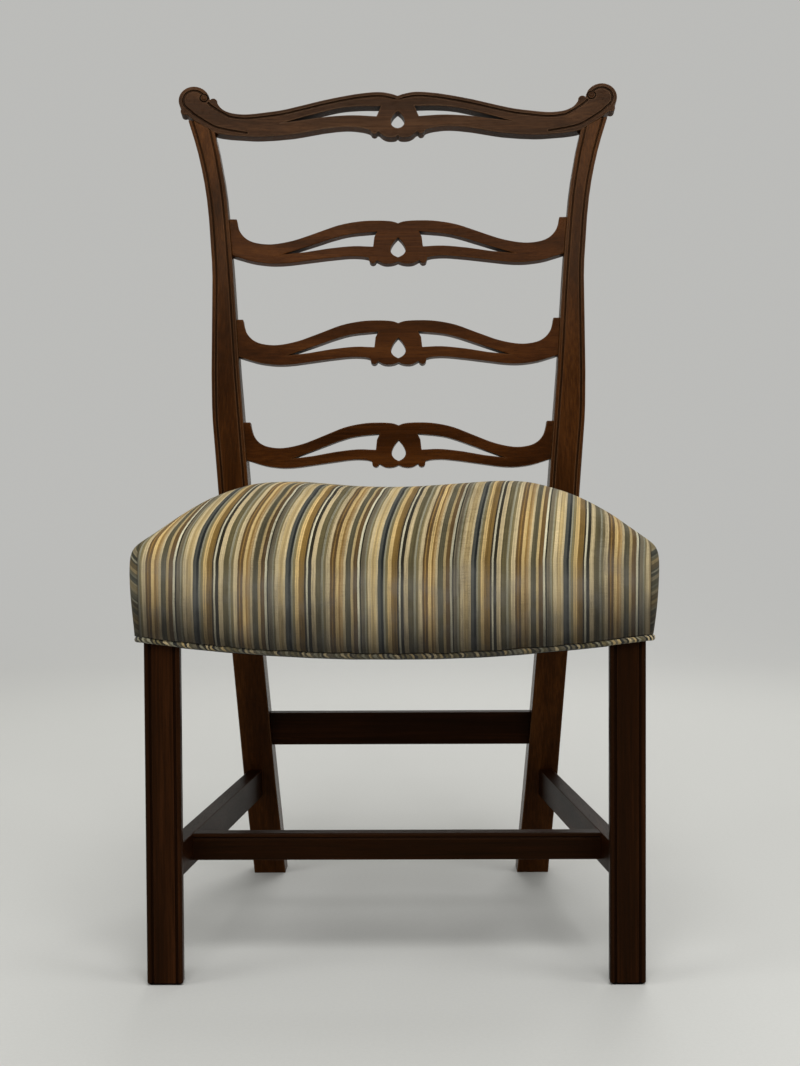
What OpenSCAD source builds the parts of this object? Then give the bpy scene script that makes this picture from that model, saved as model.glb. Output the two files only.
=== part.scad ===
// Ladderback side chair with pierced slats, a serpentine crest rail with scrolled
// ears, moulded posts and a crowned seat with the cover pulled over its rails.
// All sizes are in millimetres. Z is up, the chair faces -Y, and left and right
// are as seen from the front. Depths are first measured from the faces of the
// front legs, and the finished chair is then centred over the origin.
// The outlines of the crest and slats are drawn as seen from the front, and laid
// on their tilted and dished faces.

/* [Overall] */
// Height from the floor to the tops of the ears
chair_h = 1017; // [970:1:1060]
// Width over the outer faces of the front legs
leg_span = 499; // [470:1:530]
// Depth from the faces of the front legs to the faces of the posts at the seat
post_y = 400; // [375:1:425]
// Width over the outer edges of the posts at mid-back
post_span = 469; // [455:1:483]
// How far the ears reach out beyond the posts' outer edges at mid-back
ear_reach = 48.5; // [44:0.5:54]

/* [Front legs] */
// Width and depth of a front leg
leg_w = 36; // [34:0.5:40]
// Depth of a leg's inner side, in front of the chamfer on its inner rear corner
leg_side = 12; // [10:0.5:18]
// Width that the chamfer takes from a leg's rear face
leg_chamfer = 16; // [10:0.5:18]
// Diameter of the bead on each front corner
bead_d = 5.2; // [3.5:0.1:6]
// Width of the quirk beside each bead
quirk_w = 1.8; // [1:0.1:2.4]
// Depth of the quirk
quirk_d = 2.6; // [1.5:0.1:4]
// Depth of the sunk field between the quirks
field_drop = 0.8; // [0.3:0.1:1.4]
// Chamfer round the sole of a front leg
foot_chamfer = 3; // [1:0.5:5]

/* [Back posts] */
// Width of a post at the seat, seen from the front
post_w = 38; // [35:0.5:41]
// Depth of a post at the seat, front to back
post_t = 38; // [35:0.5:41]
// How far the foot of a post kicks back behind its face at the seat
foot_kick = 48; // [30:1:60]
// How far the back leans at the top, behind its face at the seat
back_rake = 95; // [75:1:110]
// Width of the bead along each edge of a post's face
post_bead = 4.4; // [3:0.1:6]
// Width of the groove beside that bead
post_groove_w = 2; // [1:0.1:3]
// Depth of the groove
post_groove_d = 1.8; // [0.8:0.1:2.6]

/* [Crest rail] */
// Height of the crest from its lowest lobe to the tops of the ears
crest_h = 67.6; // [62:0.1:74]
// Thickness of the crest
crest_t = 16; // [14:0.5:19]
// How far the middle of the crest is dished back
crest_dish = 14; // [8:0.5:20]
// How far the face of the crest stands in front of the posts
crest_proud = 1.5; // [0.5:0.1:3]
// Radius of an ear
ear_r = 20; // [18:0.5:22]
// Radius of the knob above an ear's neck
upper_knob_r = 5.2; // [4:0.1:7]
// Radius of the knob below an ear
lower_knob_r = 4.6; // [4:0.1:6]
// Radius of the button in the scroll
volute_r = 4.4; // [3:0.1:5.5]
// Width of the raised rim
rim_w = 4.6; // [3.5:0.1:6]
// Width of the groove beside the rim
rim_groove_w = 2.6; // [1.5:0.1:3.5]
// Depth of the groove beside the rim
rim_groove_d = 2; // [1:0.1:3]

/* [Slats] */
// Height of a slat
slat_h = 57; // [52:0.5:62]
// Thickness of a slat
slat_t = 13; // [11:0.5:15]
// How far the middle of a slat is dished back
slat_dish = 14; // [8:0.5:18]
// How far the ends of a slat are set back from the faces of the posts
slat_set = 5; // [3:0.5:7]
// Height of the bottom slat's lowest lobe over the floor
slat_low = 521; // [512:1:532]
// Radius of the small knobs under a slat and under the crest
pendant_r = 4.4; // [3.5:0.1:5]
// Thickness of a slat's tenon
slat_tenon_t = 7; // [5:0.5:8]
// Length of a slat's tenon
slat_tenon_l = 12; // [8:0.5:15]

/* [Seat rails] */
// Height of the rails' top edges over the floor
rail_top = 415; // [405:1:425]
// Height of the rails
rail_h = 70; // [62:1:76]
// Thickness of the rails
rail_t = 22; // [20:0.5:24]
// How far the lower edge of the front rail dips at its middle
saddle = 17.6; // [8:0.2:24]
// How far a side rail is set in from the outer edge of the post
side_set = 5; // [3:0.5:7]
// How far the rear rail is set back from the faces of the posts
rear_set = 10; // [8:0.5:12]

/* [Stretchers] */
// Height of the side stretchers' lower edges over the floor
stretcher_low = 102; // [85:1:120]
// Height of the side stretchers
stretcher_h = 34; // [30:0.5:38]
// Thickness of the side and cross stretchers
stretcher_t = 17.5; // [15:0.5:19]
// How far a side stretcher is set in from the outer face of the front leg
stretcher_in = 14; // [10:0.5:15]
// How far a side stretcher is set in from the outer edge of the post
stretcher_post_in = 5; // [4:0.5:8]
// Height of the cross stretcher
cross_h = 28; // [25:0.5:30]
// Depth from the faces of the front legs to the face of the cross stretcher
cross_y = 76; // [60:1:110]
// Height of the rear stretcher's lower edge over the floor
rear_low = 168; // [155:1:180]
// Height of the rear stretcher
rear_h = 41; // [36:0.5:46]
// Thickness of the rear stretcher
rear_t = 18; // [15:0.5:20]
// Width of the bead worked along a stretcher's upper edge
edge_bead = 4; // [3:0.1:5]

/* [Joints] */
// Thickness of the tenons on rails and stretchers
tenon_t = 8; // [7:0.5:9]
// Length of the tenons on rails and stretchers
tenon_l = 18; // [14:0.5:19]
// Shoulder above and below a tenon
shoulder = 6; // [4:0.5:8]
// Clearance all round a tenon, tack or screw in its hole
joint_gap = 0.15; // [0.1:0.01:0.25]
// Length of a post's tenon up into the crest
crest_tenon_l = 16; // [10:0.5:20]
// Width of a post's tenon into the crest
crest_tenon_w = 14; // [10:0.5:16]

/* [Corner blocks] */
// Length of a corner block along each rail, beyond the leg or post
block_l = 55; // [40:1:65]
// Height of a corner block
block_h = 40; // [30:1:50]
// Drop of a corner block below the rails' top edges
block_drop = 8; // [4:1:14]
// Diameter of a block screw's shank
screw_d = 4; // [3:0.1:5]
// Diameter of a block screw's head
screw_head_d = 8; // [7:0.1:9]
// Height of a block screw's head
screw_head_h = 2.4; // [1.5:0.1:3]
// Length of a screw in the rail
screw_bite = 13; // [9:0.5:16]

/* [Webbing and deck] */
// Width of a webbing strip
web_w = 50; // [45:1:54]
// Thickness of the webbing
web_t = 1.5; // [1:0.1:2]
// Number of strips from front to back
webs_along = 4; // [3:1:5]
// Number of strips from side to side
webs_across = 3; // [2:1:4]
// Diameter of a tack's head
tack_d = 6; // [5:0.1:7]
// Height of a tack's head
tack_h = 0.9; // [0.6:0.1:1.2]
// Width of a tack's square shank
tack_shank = 1.4; // [1:0.1:1.8]
// Length of a tack's shank below its head
tack_l = 11; // [8:0.5:14]
// Thickness of the hessian deck
deck_t = 0.8; // [0.5:0.1:1.2]
// Thickness of the dust cover
dust_t = 0.8; // [0.5:0.1:1.2]

/* [Seat] */
// Height of the crown of the seat over the floor
seat_top = 502; // [485:0.5:510]
// Height of the edge where the seat's sides turn into its top
seat_edge = 438; // [434:0.5:446]
// Dip in the crown at the middle of the seat
crown_dip = 8.5; // [0:0.5:12]
// How far the cover stands out from the rails at its lower edge
cover_stand = 6.5; // [6:0.1:9]
// How far the cover stands out from the rails at the seat's edge
cover_bulge = 12; // [10:0.5:16]
// Thickness of the cover cloth
cover_t = 1.6; // [1:0.1:2]
// Thickness of the wadding over the foam
wadding_t = 5; // [3:0.5:7]
// Diameter of the welt along the cover's lower edge
welt_d = 6; // [5:0.1:7]
// Clearance between soft layers
soft_gap = 0.3; // [0.2:0.05:0.4]

/* [Hidden] */

mahogany = [0.30, 0.13, 0.07];
mahogany_light = [0.38, 0.18, 0.10];
beech = [0.72, 0.56, 0.38];
steel = [0.62, 0.62, 0.64];
jute = [0.66, 0.54, 0.36];
hessian = [0.70, 0.60, 0.44];
foam_cream = [0.90, 0.85, 0.66];
cotton = [0.93, 0.92, 0.88];
stripe_gold = [0.66, 0.56, 0.38];
welt_slate = [0.38, 0.38, 0.36];
cambric = [0.08, 0.08, 0.09];

// Overrun of a cut past the faces it goes through
over = 1;
// A reach past everything, for cutting regions with no outer end
far = 2 * chair_h;
// Faces of a full circle for the dished bands, and for small rounds
band_faces = 720;
round_faces = 40;

leg_half = leg_span / 2;
ear_half = post_span / 2 + ear_reach;
rail_bottom = rail_top - rail_h;
crest_low = chair_h - crest_h;

// A smooth curve through rows of numbers, with the given steps between two rows
function between(a, b, c, d, t) =
    b + (c - a) * t / 2 + (2 * a - 5 * b + 4 * c - d) * t * t / 2
    + (3 * b - 3 * c + d - a) * t * t * t / 2;
function smooth(rows, steps) =
    let (last = len(rows) - 1)
    [for (i = [0 : last - 1])
        let (a = rows[max(i - 1, 0)], d = rows[min(i + 2, last)])
        for (k = [0 : steps - 1]) between(a, rows[i], rows[i + 1], d, k / steps),
     rows[last]];
function reversed(rows) = [for (i = [len(rows) - 1 : -1 : 0]) rows[i]];
function column(rows, k) = [for (r = rows) [r[0], r[k]]];
// An outline of both halves, from the points of its right half
function both_sides(right) =
    concat(right, [for (p = reversed(right)) if (p[0] > 0) [-p[0], p[1]]]);
// The direction across a path, to its left, and the path moved that way
function across(path, i) =
    let (d = path[min(i + 1, len(path) - 1)] - path[max(i - 1, 0)])
    [-d[1], d[0]] / norm(d);
function beside(path, d) = [for (i = [0 : len(path) - 1]) path[i] + d * across(path, i)];
function ribbon(path, d0, d1) = concat(beside(path, d0), reversed(beside(path, d1)));
function arc(centre, r, from, to, steps) =
    [for (k = [0 : steps])
        let (a = from + (to - from) * k / steps) centre + r * [cos(a), sin(a)]];

// Rows up a back post: height, outer edge, flare, width, kick of the foot, rake and
// depth, as shares of chair_h, half of post_span, ear_reach, post_w, foot_kick,
// back_rake and post_t
post_shares = [
    [0.000, 0.806, 0.000, 1.05, 1.00, 0.000, 0.92],
    [0.120, 0.851, 0.000, 1.04, 0.71, 0.000, 0.97],
    [0.230, 0.885, 0.000, 1.03, 0.42, 0.000, 1.00],
    [0.335, 0.917, 0.000, 1.01, 0.14, 0.000, 1.00],
    [0.420, 0.942, 0.000, 1.00, 0.01, 0.005, 1.00],
    [0.510, 0.968, 0.000, 0.99, 0.00, 0.030, 0.95],
    [0.570, 0.992, 0.000, 1.00, 0.00, 0.090, 0.88],
    [0.630, 1.000, 0.000, 0.92, 0.00, 0.165, 0.80],
    [0.710, 1.000, 0.000, 0.77, 0.00, 0.300, 0.72],
    [0.770, 1.000, 0.029, 0.68, 0.00, 0.420, 0.65],
    [0.850, 1.000, 0.193, 0.67, 0.00, 0.610, 0.56],
    [0.910, 1.000, 0.450, 0.72, 0.00, 0.755, 0.49],
    [0.960, 1.000, 0.774, 0.81, 0.00, 0.885, 0.44],
    [1.000, 1.000, 0.991, 0.90, 0.00, 0.985, 0.42]];
post_steps = 3;
// How far up the crest a post's blank reaches before it is scribed to the crest
post_top_share = 0.32;
post_rows = [for (r = smooth(post_shares, post_steps))
    [r[0] * chair_h, r[1] * post_span / 2 + r[2] * ear_reach, r[3] * post_w,
     post_y + r[4] * foot_kick + r[5] * back_rake, r[6] * post_t]];
out_line = column(post_rows, 1);
width_line = column(post_rows, 2);
front_line = column(post_rows, 3);
depth_line = column(post_rows, 4);
function post_out(z) = lookup(z, out_line);
function post_in(z) = post_out(z) - lookup(z, width_line);
function post_front(z) = lookup(z, front_line);
function post_back(z) = post_front(z) + lookup(z, depth_line);
function post_levels(low, high) =
    concat([low], [for (r = post_rows) if (r[0] > low && r[0] < high) r[0]], [high]);
// The lean of the posts' faces about a height
function lean(z, reach) = atan((post_front(z + reach) - post_front(z - reach)) / (2 * reach));

// A dished face: the radius of its arc, and how far back it lies at x
function dish_r(half, dish) = (half * half + dish * dish) / (2 * dish);
function dish_at(x, half, dish) =
    let (r = dish_r(half, dish)) dish - r + sqrt(r * r - x * x);
// A point seen from the front, laid on a tilted and dished face
function laid(x, z, half, dish, tilt) =
    [x, (z + dish_at(x, half, dish) * sin(tilt)) / cos(tilt)];

crest_tilt = lean(crest_low + crest_h / 2, crest_h / 2);
crest_half = ear_half - ear_r;
function on_crest_face(share) =
    laid(share[0] * ear_half, share[1] * crest_h, crest_half, crest_dish, crest_tilt);
// Height of the ear's centre up the crest
ear_height_share = 0.7075;
ear_centre = laid(crest_half, ear_height_share * crest_h, crest_half, crest_dish, crest_tilt);
crest_top_shares = [
    [0.000, 0.832], [0.035, 0.881], [0.095, 0.912], [0.200, 0.867], [0.343, 0.745],
    [0.508, 0.564], [0.608, 0.492], [0.678, 0.455], [0.722, 0.454], [0.765, 0.480],
    [0.802, 0.550]];
crest_under_shares = [
    [0.918, 0.290], [0.869, 0.168], [0.832, 0.080], [0.777, 0.038],
    [0.700, 0.016], [0.619, 0.010], [0.481, 0.060], [0.342, 0.168], [0.237, 0.215],
    [0.165, 0.190], [0.130, 0.150]];
crest_lobe_shares = [
    [0.083, 0.100], [0.070, 0.050], [0.052, 0.012], [0.031, 0.000], [0.010, 0.010],
    [0.000, 0.044]];
crest_opening_upper_shares = [
    [0.520, 0.292], [0.412, 0.435], [0.273, 0.587], [0.168, 0.630], [0.077, 0.628]];
crest_opening_lower_shares = [
    [0.097, 0.420], [0.201, 0.444], [0.307, 0.422], [0.412, 0.361], [0.520, 0.292]];
crest_drop_shares = [
    [0.000, 0.526], [0.018, 0.455], [0.030, 0.360], [0.030, 0.270], [0.018, 0.205],
    [0.000, 0.180]];
// A knob's centre lies this share of its radius outside the ear's edge, at an angle
upper_knob_out_share = 0.83;
lower_knob_out_share = -0.06;
upper_knob_angle = 182;
lower_knob_angle = -50.5;
crest_pendant_share = [0.107, 0.135];
// Where the scroll's button lies from the ear's centre, as shares of ear_r
volute_shares = [-0.614, 0.218];
crest_groove_end_shares = [[0.800, 0.470], [0.828, 0.540], [0.852, 0.610], [0.869, 0.680]];
crest_groove_under_shares = [
    [0.935, 0.455], [0.905, 0.370], [0.866, 0.268], [0.830, 0.190], [0.780, 0.138],
    [0.735, 0.105], [0.685, 0.075]];
outline_steps = 4;

// Where the slats' lowest lobes lie, from the bottom slat's to the crest's
slat_place_shares = [0, 0.3046, 0.6092];
function slat_z(i) = slat_low + slat_place_shares[i] * (crest_low - slat_low);
function slat_mid(i) = slat_z(i) + slat_h / 2;
function slat_half(i) = post_in(slat_mid(i));
function slat_tilt(i) = lean(slat_mid(i), slat_h / 2);
function on_slat_face(i, share) =
    laid(share[0] * slat_half(i), share[1] * slat_h, slat_half(i), slat_dish, slat_tilt(i));
slat_top_shares = [
    [0.000, 0.935], [0.045, 0.985], [0.140, 1.000], [0.240, 0.978], [0.360, 0.890],
    [0.500, 0.700], [0.630, 0.532], [0.755, 0.445], [0.850, 0.470], [0.908, 0.560],
    [0.945, 0.710], [0.962, 0.880], [0.968, 1.010]];
slat_end_shares = [[1.100, 1.010], [1.100, 0.190]];
slat_under_shares = [
    [1.000, 0.190], [0.950, 0.130], [0.870, 0.050], [0.790, 0.008], [0.720, 0.000],
    [0.640, 0.022], [0.523, 0.080], [0.400, 0.140], [0.290, 0.178], [0.215, 0.170],
    [0.175, 0.140]];
slat_lobe_shares = [
    [0.123, 0.072], [0.092, 0.015], [0.060, 0.000], [0.025, 0.018], [0.000, 0.055]];
slat_opening_upper_shares = [
    [0.690, 0.212], [0.523, 0.420], [0.390, 0.590], [0.280, 0.690], [0.125, 0.745]];
slat_opening_end_shares = [[0.125, 0.745], [0.143, 0.620], [0.150, 0.395]];
slat_opening_lower_shares = [
    [0.150, 0.395], [0.270, 0.408], [0.420, 0.352], [0.560, 0.266], [0.690, 0.212]];
slat_drop_shares = [
    [0.000, 0.610], [0.026, 0.500], [0.043, 0.380], [0.044, 0.280], [0.028, 0.200],
    [0.000, 0.145]];
slat_pendant_share = [0.151, 0.088];
// The band of a slat's height that its tenon takes
slat_tenon_shares = [0.30, 0.88];

// Half the width over the rails' outer faces, at a depth
side_front_x = leg_half;
side_rear_x = post_out(rail_top - rail_h / 2) - side_set;
side_rear_y = post_front(rail_top - rail_h / 2);
function rail_x(y) =
    side_front_x + (side_rear_x - side_front_x) * (y - leg_w) / (side_rear_y - leg_w);
rear_rail_y = post_y + rear_set;
seat_back_y = rear_rail_y + rail_t;
// The lower edge of the front rail, at x
function front_low(x) = rail_bottom - saddle * (1 - pow(min(abs(x) / leg_half, 1), 2));

// Half the width over a side stretcher's outer face, at a depth
stretcher_mid_z = stretcher_low + stretcher_h / 2;
stretcher_rear_y = post_front(stretcher_mid_z);
function stretcher_x(y) =
    let (x0 = leg_half - stretcher_in, x1 = post_out(stretcher_mid_z) - stretcher_post_in)
    x0 + (x1 - x0) * (y - leg_w) / (stretcher_rear_y - leg_w);

// The whole depth, from the seat's front to the back of the crest's middle
hump_v = on_crest_face(crest_top_shares[2])[1];
crest_origin_y = post_front(crest_low) - crest_proud;
crest_back_y = crest_origin_y + (crest_dish + crest_t) * cos(crest_tilt) + hump_v * sin(crest_tilt);
centre_y = (crest_back_y - cover_bulge) / 2;

module placed() {
    translate([0, -centre_y, 0]) children();
}

// An outline of [x, z], carried from depth y0 to y1
module front_view(y0, y1) {
    translate([0, y1, 0]) rotate([90, 0, 0]) linear_extrude(y1 - y0) children();
}

// An outline of [y, z], carried from x0 to x1
module side_view(x0, x1) {
    translate([x0, 0, 0]) rotate([90, 0, 90]) linear_extrude(x1 - x0) children();
}

module both() {
    children();
    mirror([1, 0, 0]) children();
}

// A band dished back in plan, with its face on y = 0 at x = half
module dished_band(half, dish, thick, low, high) {
    r = dish_r(half, dish);
    translate([0, dish - r, low])
        difference() {
            cylinder(r = r + thick, h = high - low, $fn = band_faces);
            translate([0, 0, -over]) cylinder(r = r, h = high - low + 2 * over, $fn = band_faces);
        }
}

// Everything in front of a dished face, and down to a depth behind it
module dished_front(half, dish, depth, low, high) {
    r = dish_r(half, dish);
    translate([0, dish - r, low]) cylinder(r = r + depth, h = high - low, $fn = band_faces);
}

// Post, crest and slats

// A post's blank between two heights, sawn to its outline from the front and the side
module post_blank(low, high) {
    levels = post_levels(low, high);
    intersection() {
        front_view(post_y - post_t, post_y + 2 * back_rake + 2 * post_t)
            polygon(concat([for (z = levels) [post_out(z), z]],
                           [for (z = reversed(levels)) [post_in(z), z]]));
        side_view(0, far)
            polygon(concat([for (z = levels) [post_front(z), z]],
                           [for (z = reversed(levels)) [post_back(z), z]]));
    }
}

// Everything outwards of a post's inner edge, and everything behind its face
module beyond_post_inner(low, high, gap) {
    levels = post_levels(low, high);
    front_view(0, far)
        polygon(concat([for (z = levels) [post_in(z) - gap, z]], [[far, high], [far, low]]));
}

module behind_post_face(low, high, gap) {
    levels = post_levels(low, high);
    side_view(0, far)
        polygon(concat([for (z = levels) [post_front(z) - gap, z]], [[far, high], [far, low]]));
}

// The corner of the seat that the post stands in
module post_notch(low, high, gap) {
    intersection() {
        beyond_post_inner(low, high, gap);
        behind_post_face(low, high, gap);
    }
}

// A groove down a post's face, at a distance in from its outer or inner edge
module post_groove(low, high, from_outer) {
    levels = post_levels(low, high);
    a = post_bead;
    b = post_bead + post_groove_w;
    intersection() {
        front_view(0, far)
            polygon(from_outer
                ? concat([for (z = levels) [post_out(z) - a, z]],
                         [for (z = reversed(levels)) [post_out(z) - b, z]])
                : concat([for (z = levels) [post_in(z) + b, z]],
                         [for (z = reversed(levels)) [post_in(z) + a, z]]));
        side_view(0, far)
            polygon(concat([for (z = levels) [post_front(z) - over, z]],
                           [for (z = reversed(levels)) [post_front(z) + post_groove_d, z]]));
    }
}

module on_crest() {
    translate([0, crest_origin_y, crest_low]) rotate([-crest_tilt, 0, 0]) children();
}

// A knob's centre, and the two angles at which its circle and the ear's cross
function knob_centre(r, out_share, angle) =
    ear_centre + (ear_r + out_share * r) * [cos(angle), sin(angle)];
function ear_half_angle(r, out_share) =
    let (d = ear_r + out_share * r) acos((d * d + ear_r * ear_r - r * r) / (2 * d * ear_r));
function knob_half_angle(r, out_share) =
    let (d = ear_r + out_share * r) acos((d * d + r * r - ear_r * ear_r) / (2 * d * r));

// The outline's right half, clockwise: along the top edge, round the upper knob, the
// ear and the lower knob, and back along the underside past the pendant
function crest_right() =
    let (upper = arc(knob_centre(upper_knob_r, upper_knob_out_share, upper_knob_angle),
                     upper_knob_r, 195, upper_knob_angle - 180
                         + knob_half_angle(upper_knob_r, upper_knob_out_share), 12),
         ear = arc(ear_centre, ear_r,
                   upper_knob_angle - ear_half_angle(upper_knob_r, upper_knob_out_share),
                   lower_knob_angle + ear_half_angle(lower_knob_r, lower_knob_out_share), 28),
         lower = arc(knob_centre(lower_knob_r, lower_knob_out_share, lower_knob_angle),
                     lower_knob_r, lower_knob_angle + 180
                         - knob_half_angle(lower_knob_r, lower_knob_out_share), -125, 12))
    concat(smooth(concat([for (s = crest_top_shares) on_crest_face(s)], [upper[0]]),
                  outline_steps),
           [for (i = [1 : len(upper) - 1]) upper[i]],
           [for (i = [1 : len(ear) - 1]) ear[i]],
           [for (i = [1 : len(lower) - 2]) lower[i]],
           smooth(concat([lower[len(lower) - 1]],
                         [for (s = crest_under_shares) on_crest_face(s)]), outline_steps),
           arc(on_crest_face(crest_pendant_share), pendant_r, -8, -165, 10),
           smooth([for (s = crest_lobe_shares) on_crest_face(s)], outline_steps));

module crest_outline() {
    polygon(both_sides(crest_right()));
}

module crest_piercings() {
    upper = [for (s = crest_opening_upper_shares) on_crest_face(s)];
    lower = [for (s = crest_opening_lower_shares) on_crest_face(s)];
    opening = concat(smooth(upper, outline_steps), smooth(lower, outline_steps));
    polygon(opening);
    mirror([1, 0]) polygon(opening);
    polygon(both_sides(smooth([for (s = crest_drop_shares) on_crest_face(s)], outline_steps)));
}

// The groove inside the rim: along the top edge to the scroll's button, and from the
// button round the ear and in along the underside
module crest_rim_grooves() {
    mid = rim_w + rim_groove_w / 2;
    half_w = rim_groove_w / 2;
    top = smooth([for (i = [0 : 9]) on_crest_face(crest_top_shares[i])], outline_steps);
    inside_top = beside(top, -mid);
    to_button = [for (s = crest_groove_end_shares) on_crest_face(s)];
    under = [for (s = crest_groove_under_shares) on_crest_face(s)];
    button = ear_centre + ear_r * volute_shares;
    polygon(ribbon(concat([top[0] - [0, mid]], inside_top, to_button), -half_w, half_w));
    polygon(ribbon(concat(arc(ear_centre, ear_r - mid, 140, -64, 17), smooth(under, outline_steps)),
                   -half_w, half_w));
    difference() {
        translate(button) circle(volute_r + half_w, $fn = round_faces);
        translate(button) circle(volute_r, $fn = round_faces);
    }
}

// A post's tenon stands in the middle of the post, where the crest is scribed to it
crest_tenon_share = 0.23;
crest_tenon_v = crest_tenon_share * crest_h / cos(crest_tilt);
crest_tenon_z = crest_low + crest_tenon_share * crest_h;
crest_tenon_x = (post_in(crest_tenon_z) + post_out(crest_tenon_z)) / 2;
module crest_tenon(gap) {
    on_crest()
        translate([crest_tenon_x - crest_tenon_w / 2 - gap,
                   (crest_t - tenon_t) / 2 - gap + dish_at(crest_tenon_x, crest_half, crest_dish),
                   crest_tenon_v - crest_tenon_l / 2])
            cube([crest_tenon_w + 2 * gap, tenon_t + 2 * gap, 3 * crest_tenon_l / 2 + gap]);
}

module crest_rail() {
    v_high = 2 * crest_h;
    color(mahogany) placed() difference() {
        on_crest()
            difference() {
                intersection() {
                    front_view(-crest_dish, 2 * crest_dish + crest_t)
                        difference() {
                            crest_outline();
                            crest_piercings();
                        }
                    dished_band(crest_half, crest_dish, crest_t, -crest_h, v_high);
                }
                intersection() {
                    front_view(-2 * crest_dish, 2 * crest_dish)
                        for (side = [0, 1]) mirror([side, 0]) crest_rim_grooves();
                    dished_front(crest_half, crest_dish, rim_groove_d, -crest_h, v_high);
                }
            }
        both() crest_tenon(joint_gap);
    }
}

module on_slat(i) {
    translate([0, post_front(slat_z(i)) + slat_set, slat_z(i)])
        rotate([-slat_tilt(i), 0, 0]) children();
}

function slat_right(i) =
    concat(smooth([for (s = slat_top_shares) on_slat_face(i, s)], outline_steps),
           [for (s = slat_end_shares) on_slat_face(i, s)],
           smooth([for (s = slat_under_shares) on_slat_face(i, s)], outline_steps),
           arc(on_slat_face(i, slat_pendant_share), pendant_r, 0, -175, 10),
           smooth([for (s = slat_lobe_shares) on_slat_face(i, s)], outline_steps));

module slat_piercings(i) {
    upper = [for (s = slat_opening_upper_shares) on_slat_face(i, s)];
    end = [for (s = slat_opening_end_shares) on_slat_face(i, s)];
    lower = [for (s = slat_opening_lower_shares) on_slat_face(i, s)];
    opening = concat(smooth(upper, outline_steps), [end[1]], smooth(lower, outline_steps));
    polygon(opening);
    mirror([1, 0]) polygon(opening);
    polygon(both_sides(smooth([for (s = slat_drop_shares) on_slat_face(i, s)], outline_steps)));
}

// The right tenon of a slat
module slat_tenon(i, gap) {
    low = slat_tenon_shares[0] * slat_h;
    high = slat_tenon_shares[1] * slat_h;
    lap = slat_tenon_l / 2;
    on_slat(i)
        translate([slat_half(i) - lap, (slat_t - slat_tenon_t) / 2 - gap, low - gap])
            cube([lap + slat_tenon_l + gap, slat_tenon_t + 2 * gap, high - low + 2 * gap]);
}

module slat(i) {
    color(mahogany_light) placed() {
        difference() {
            on_slat(i)
                intersection() {
                    front_view(-slat_dish, 2 * slat_dish + slat_t)
                        difference() {
                            polygon(both_sides(slat_right(i)));
                            slat_piercings(i);
                        }
                    dished_band(slat_half(i), slat_dish, slat_t, -slat_h, 2 * slat_h);
                }
            both() beyond_post_inner(slat_z(i) - slat_h, slat_z(i) + 2 * slat_h, 0);
        }
        both() slat_tenon(i, 0);
    }
}

// The right post: foot to crest in one piece, moulded down its face above the seat
module back_post() {
    top = crest_low + post_top_share * crest_h;
    color(mahogany) placed() {
        difference() {
            post_blank(0, top);
            on_crest() front_view(-far, far) crest_outline();
            for (i = [0 : 2]) slat_tenon(i, joint_gap);
            for (outer = [true, false]) post_groove(rail_top, top, outer);
            side_rail_rear_tenon(joint_gap);
            rear_rail_tenon(joint_gap);
            side_stretcher_rear_tenon(joint_gap);
            rear_stretcher_tenon(joint_gap);
        }
        crest_tenon(0);
    }
}

// Front legs

// A leg's section: square, with a bead on each front corner and a sunk field
module leg_section() {
    sunk = bead_d + quirk_w;
    difference() {
        square(leg_w);
        translate([-over, -over]) square([sunk + over, quirk_d + over]);
        translate([leg_w - sunk, -over]) square([sunk + over, quirk_d + over]);
        translate([-over, -over]) square([leg_w + 2 * over, field_drop + over]);
        square(bead_d);
        translate([leg_w - bead_d, 0]) square(bead_d);
    }
    for (x = [bead_d / 2, leg_w - bead_d / 2])
        translate([x, bead_d / 2]) circle(d = bead_d, $fn = round_faces);
    translate([bead_d / 2, bead_d / 2]) square([leg_w - bead_d, bead_d / 2 + over]);
    translate([0, bead_d / 2]) square([bead_d / 2, bead_d]);
    translate([leg_w - bead_d / 2, bead_d / 2]) square([bead_d / 2, bead_d]);
}

// A leg's front view, chamfered at the sole
module chamfered(wide, high) {
    polygon([[foot_chamfer, 0], [wide - foot_chamfer, 0], [wide, foot_chamfer],
             [wide, high], [0, high], [0, foot_chamfer]]);
}

// The right leg before its mortises are cut, chamfered inside below the rails
module leg_blank() {
    x0 = leg_half - leg_w;
    difference() {
        intersection() {
            translate([x0, 0, 0]) linear_extrude(rail_top) leg_section();
            translate([x0, 0, 0]) front_view(0, leg_w) chamfered(leg_w, rail_top);
            side_view(x0, leg_half) chamfered(leg_w, rail_top);
        }
        translate([0, 0, -over]) linear_extrude(rail_bottom - shoulder + over)
            polygon([[x0, leg_side], [x0 + leg_chamfer, leg_w],
                     [x0 + leg_chamfer, leg_w + over], [x0 - over, leg_w + over],
                     [x0 - over, leg_side]]);
    }
}

module front_leg() {
    color(mahogany) placed() difference() {
        leg_blank();
        front_rail_tenon(joint_gap);
        side_rail_front_tenon(joint_gap);
        side_stretcher_front_tenon(joint_gap);
    }
}

// Seat rails

// A tenon as a box that starts some way inside the piece that it belongs to
module tenon_box(corner, size, gap) {
    translate(corner - [gap, gap, gap]) cube(size + 2 * [gap, gap, gap]);
}

module front_rail_tenon(gap) {
    x0 = leg_half - leg_w;
    low = rail_bottom + shoulder;
    tenon_box([x0 - shoulder, (rail_t - tenon_t) / 2, low],
              [shoulder + tenon_l, tenon_t, rail_h - 2 * shoulder], gap);
}

module side_rail_front_tenon(gap) {
    x = rail_x(leg_w) - rail_t / 2;
    tenon_box([x - tenon_t / 2, leg_w - tenon_l, rail_bottom + shoulder],
              [tenon_t, tenon_l + shoulder, rail_h - 2 * shoulder], gap);
}

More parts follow.
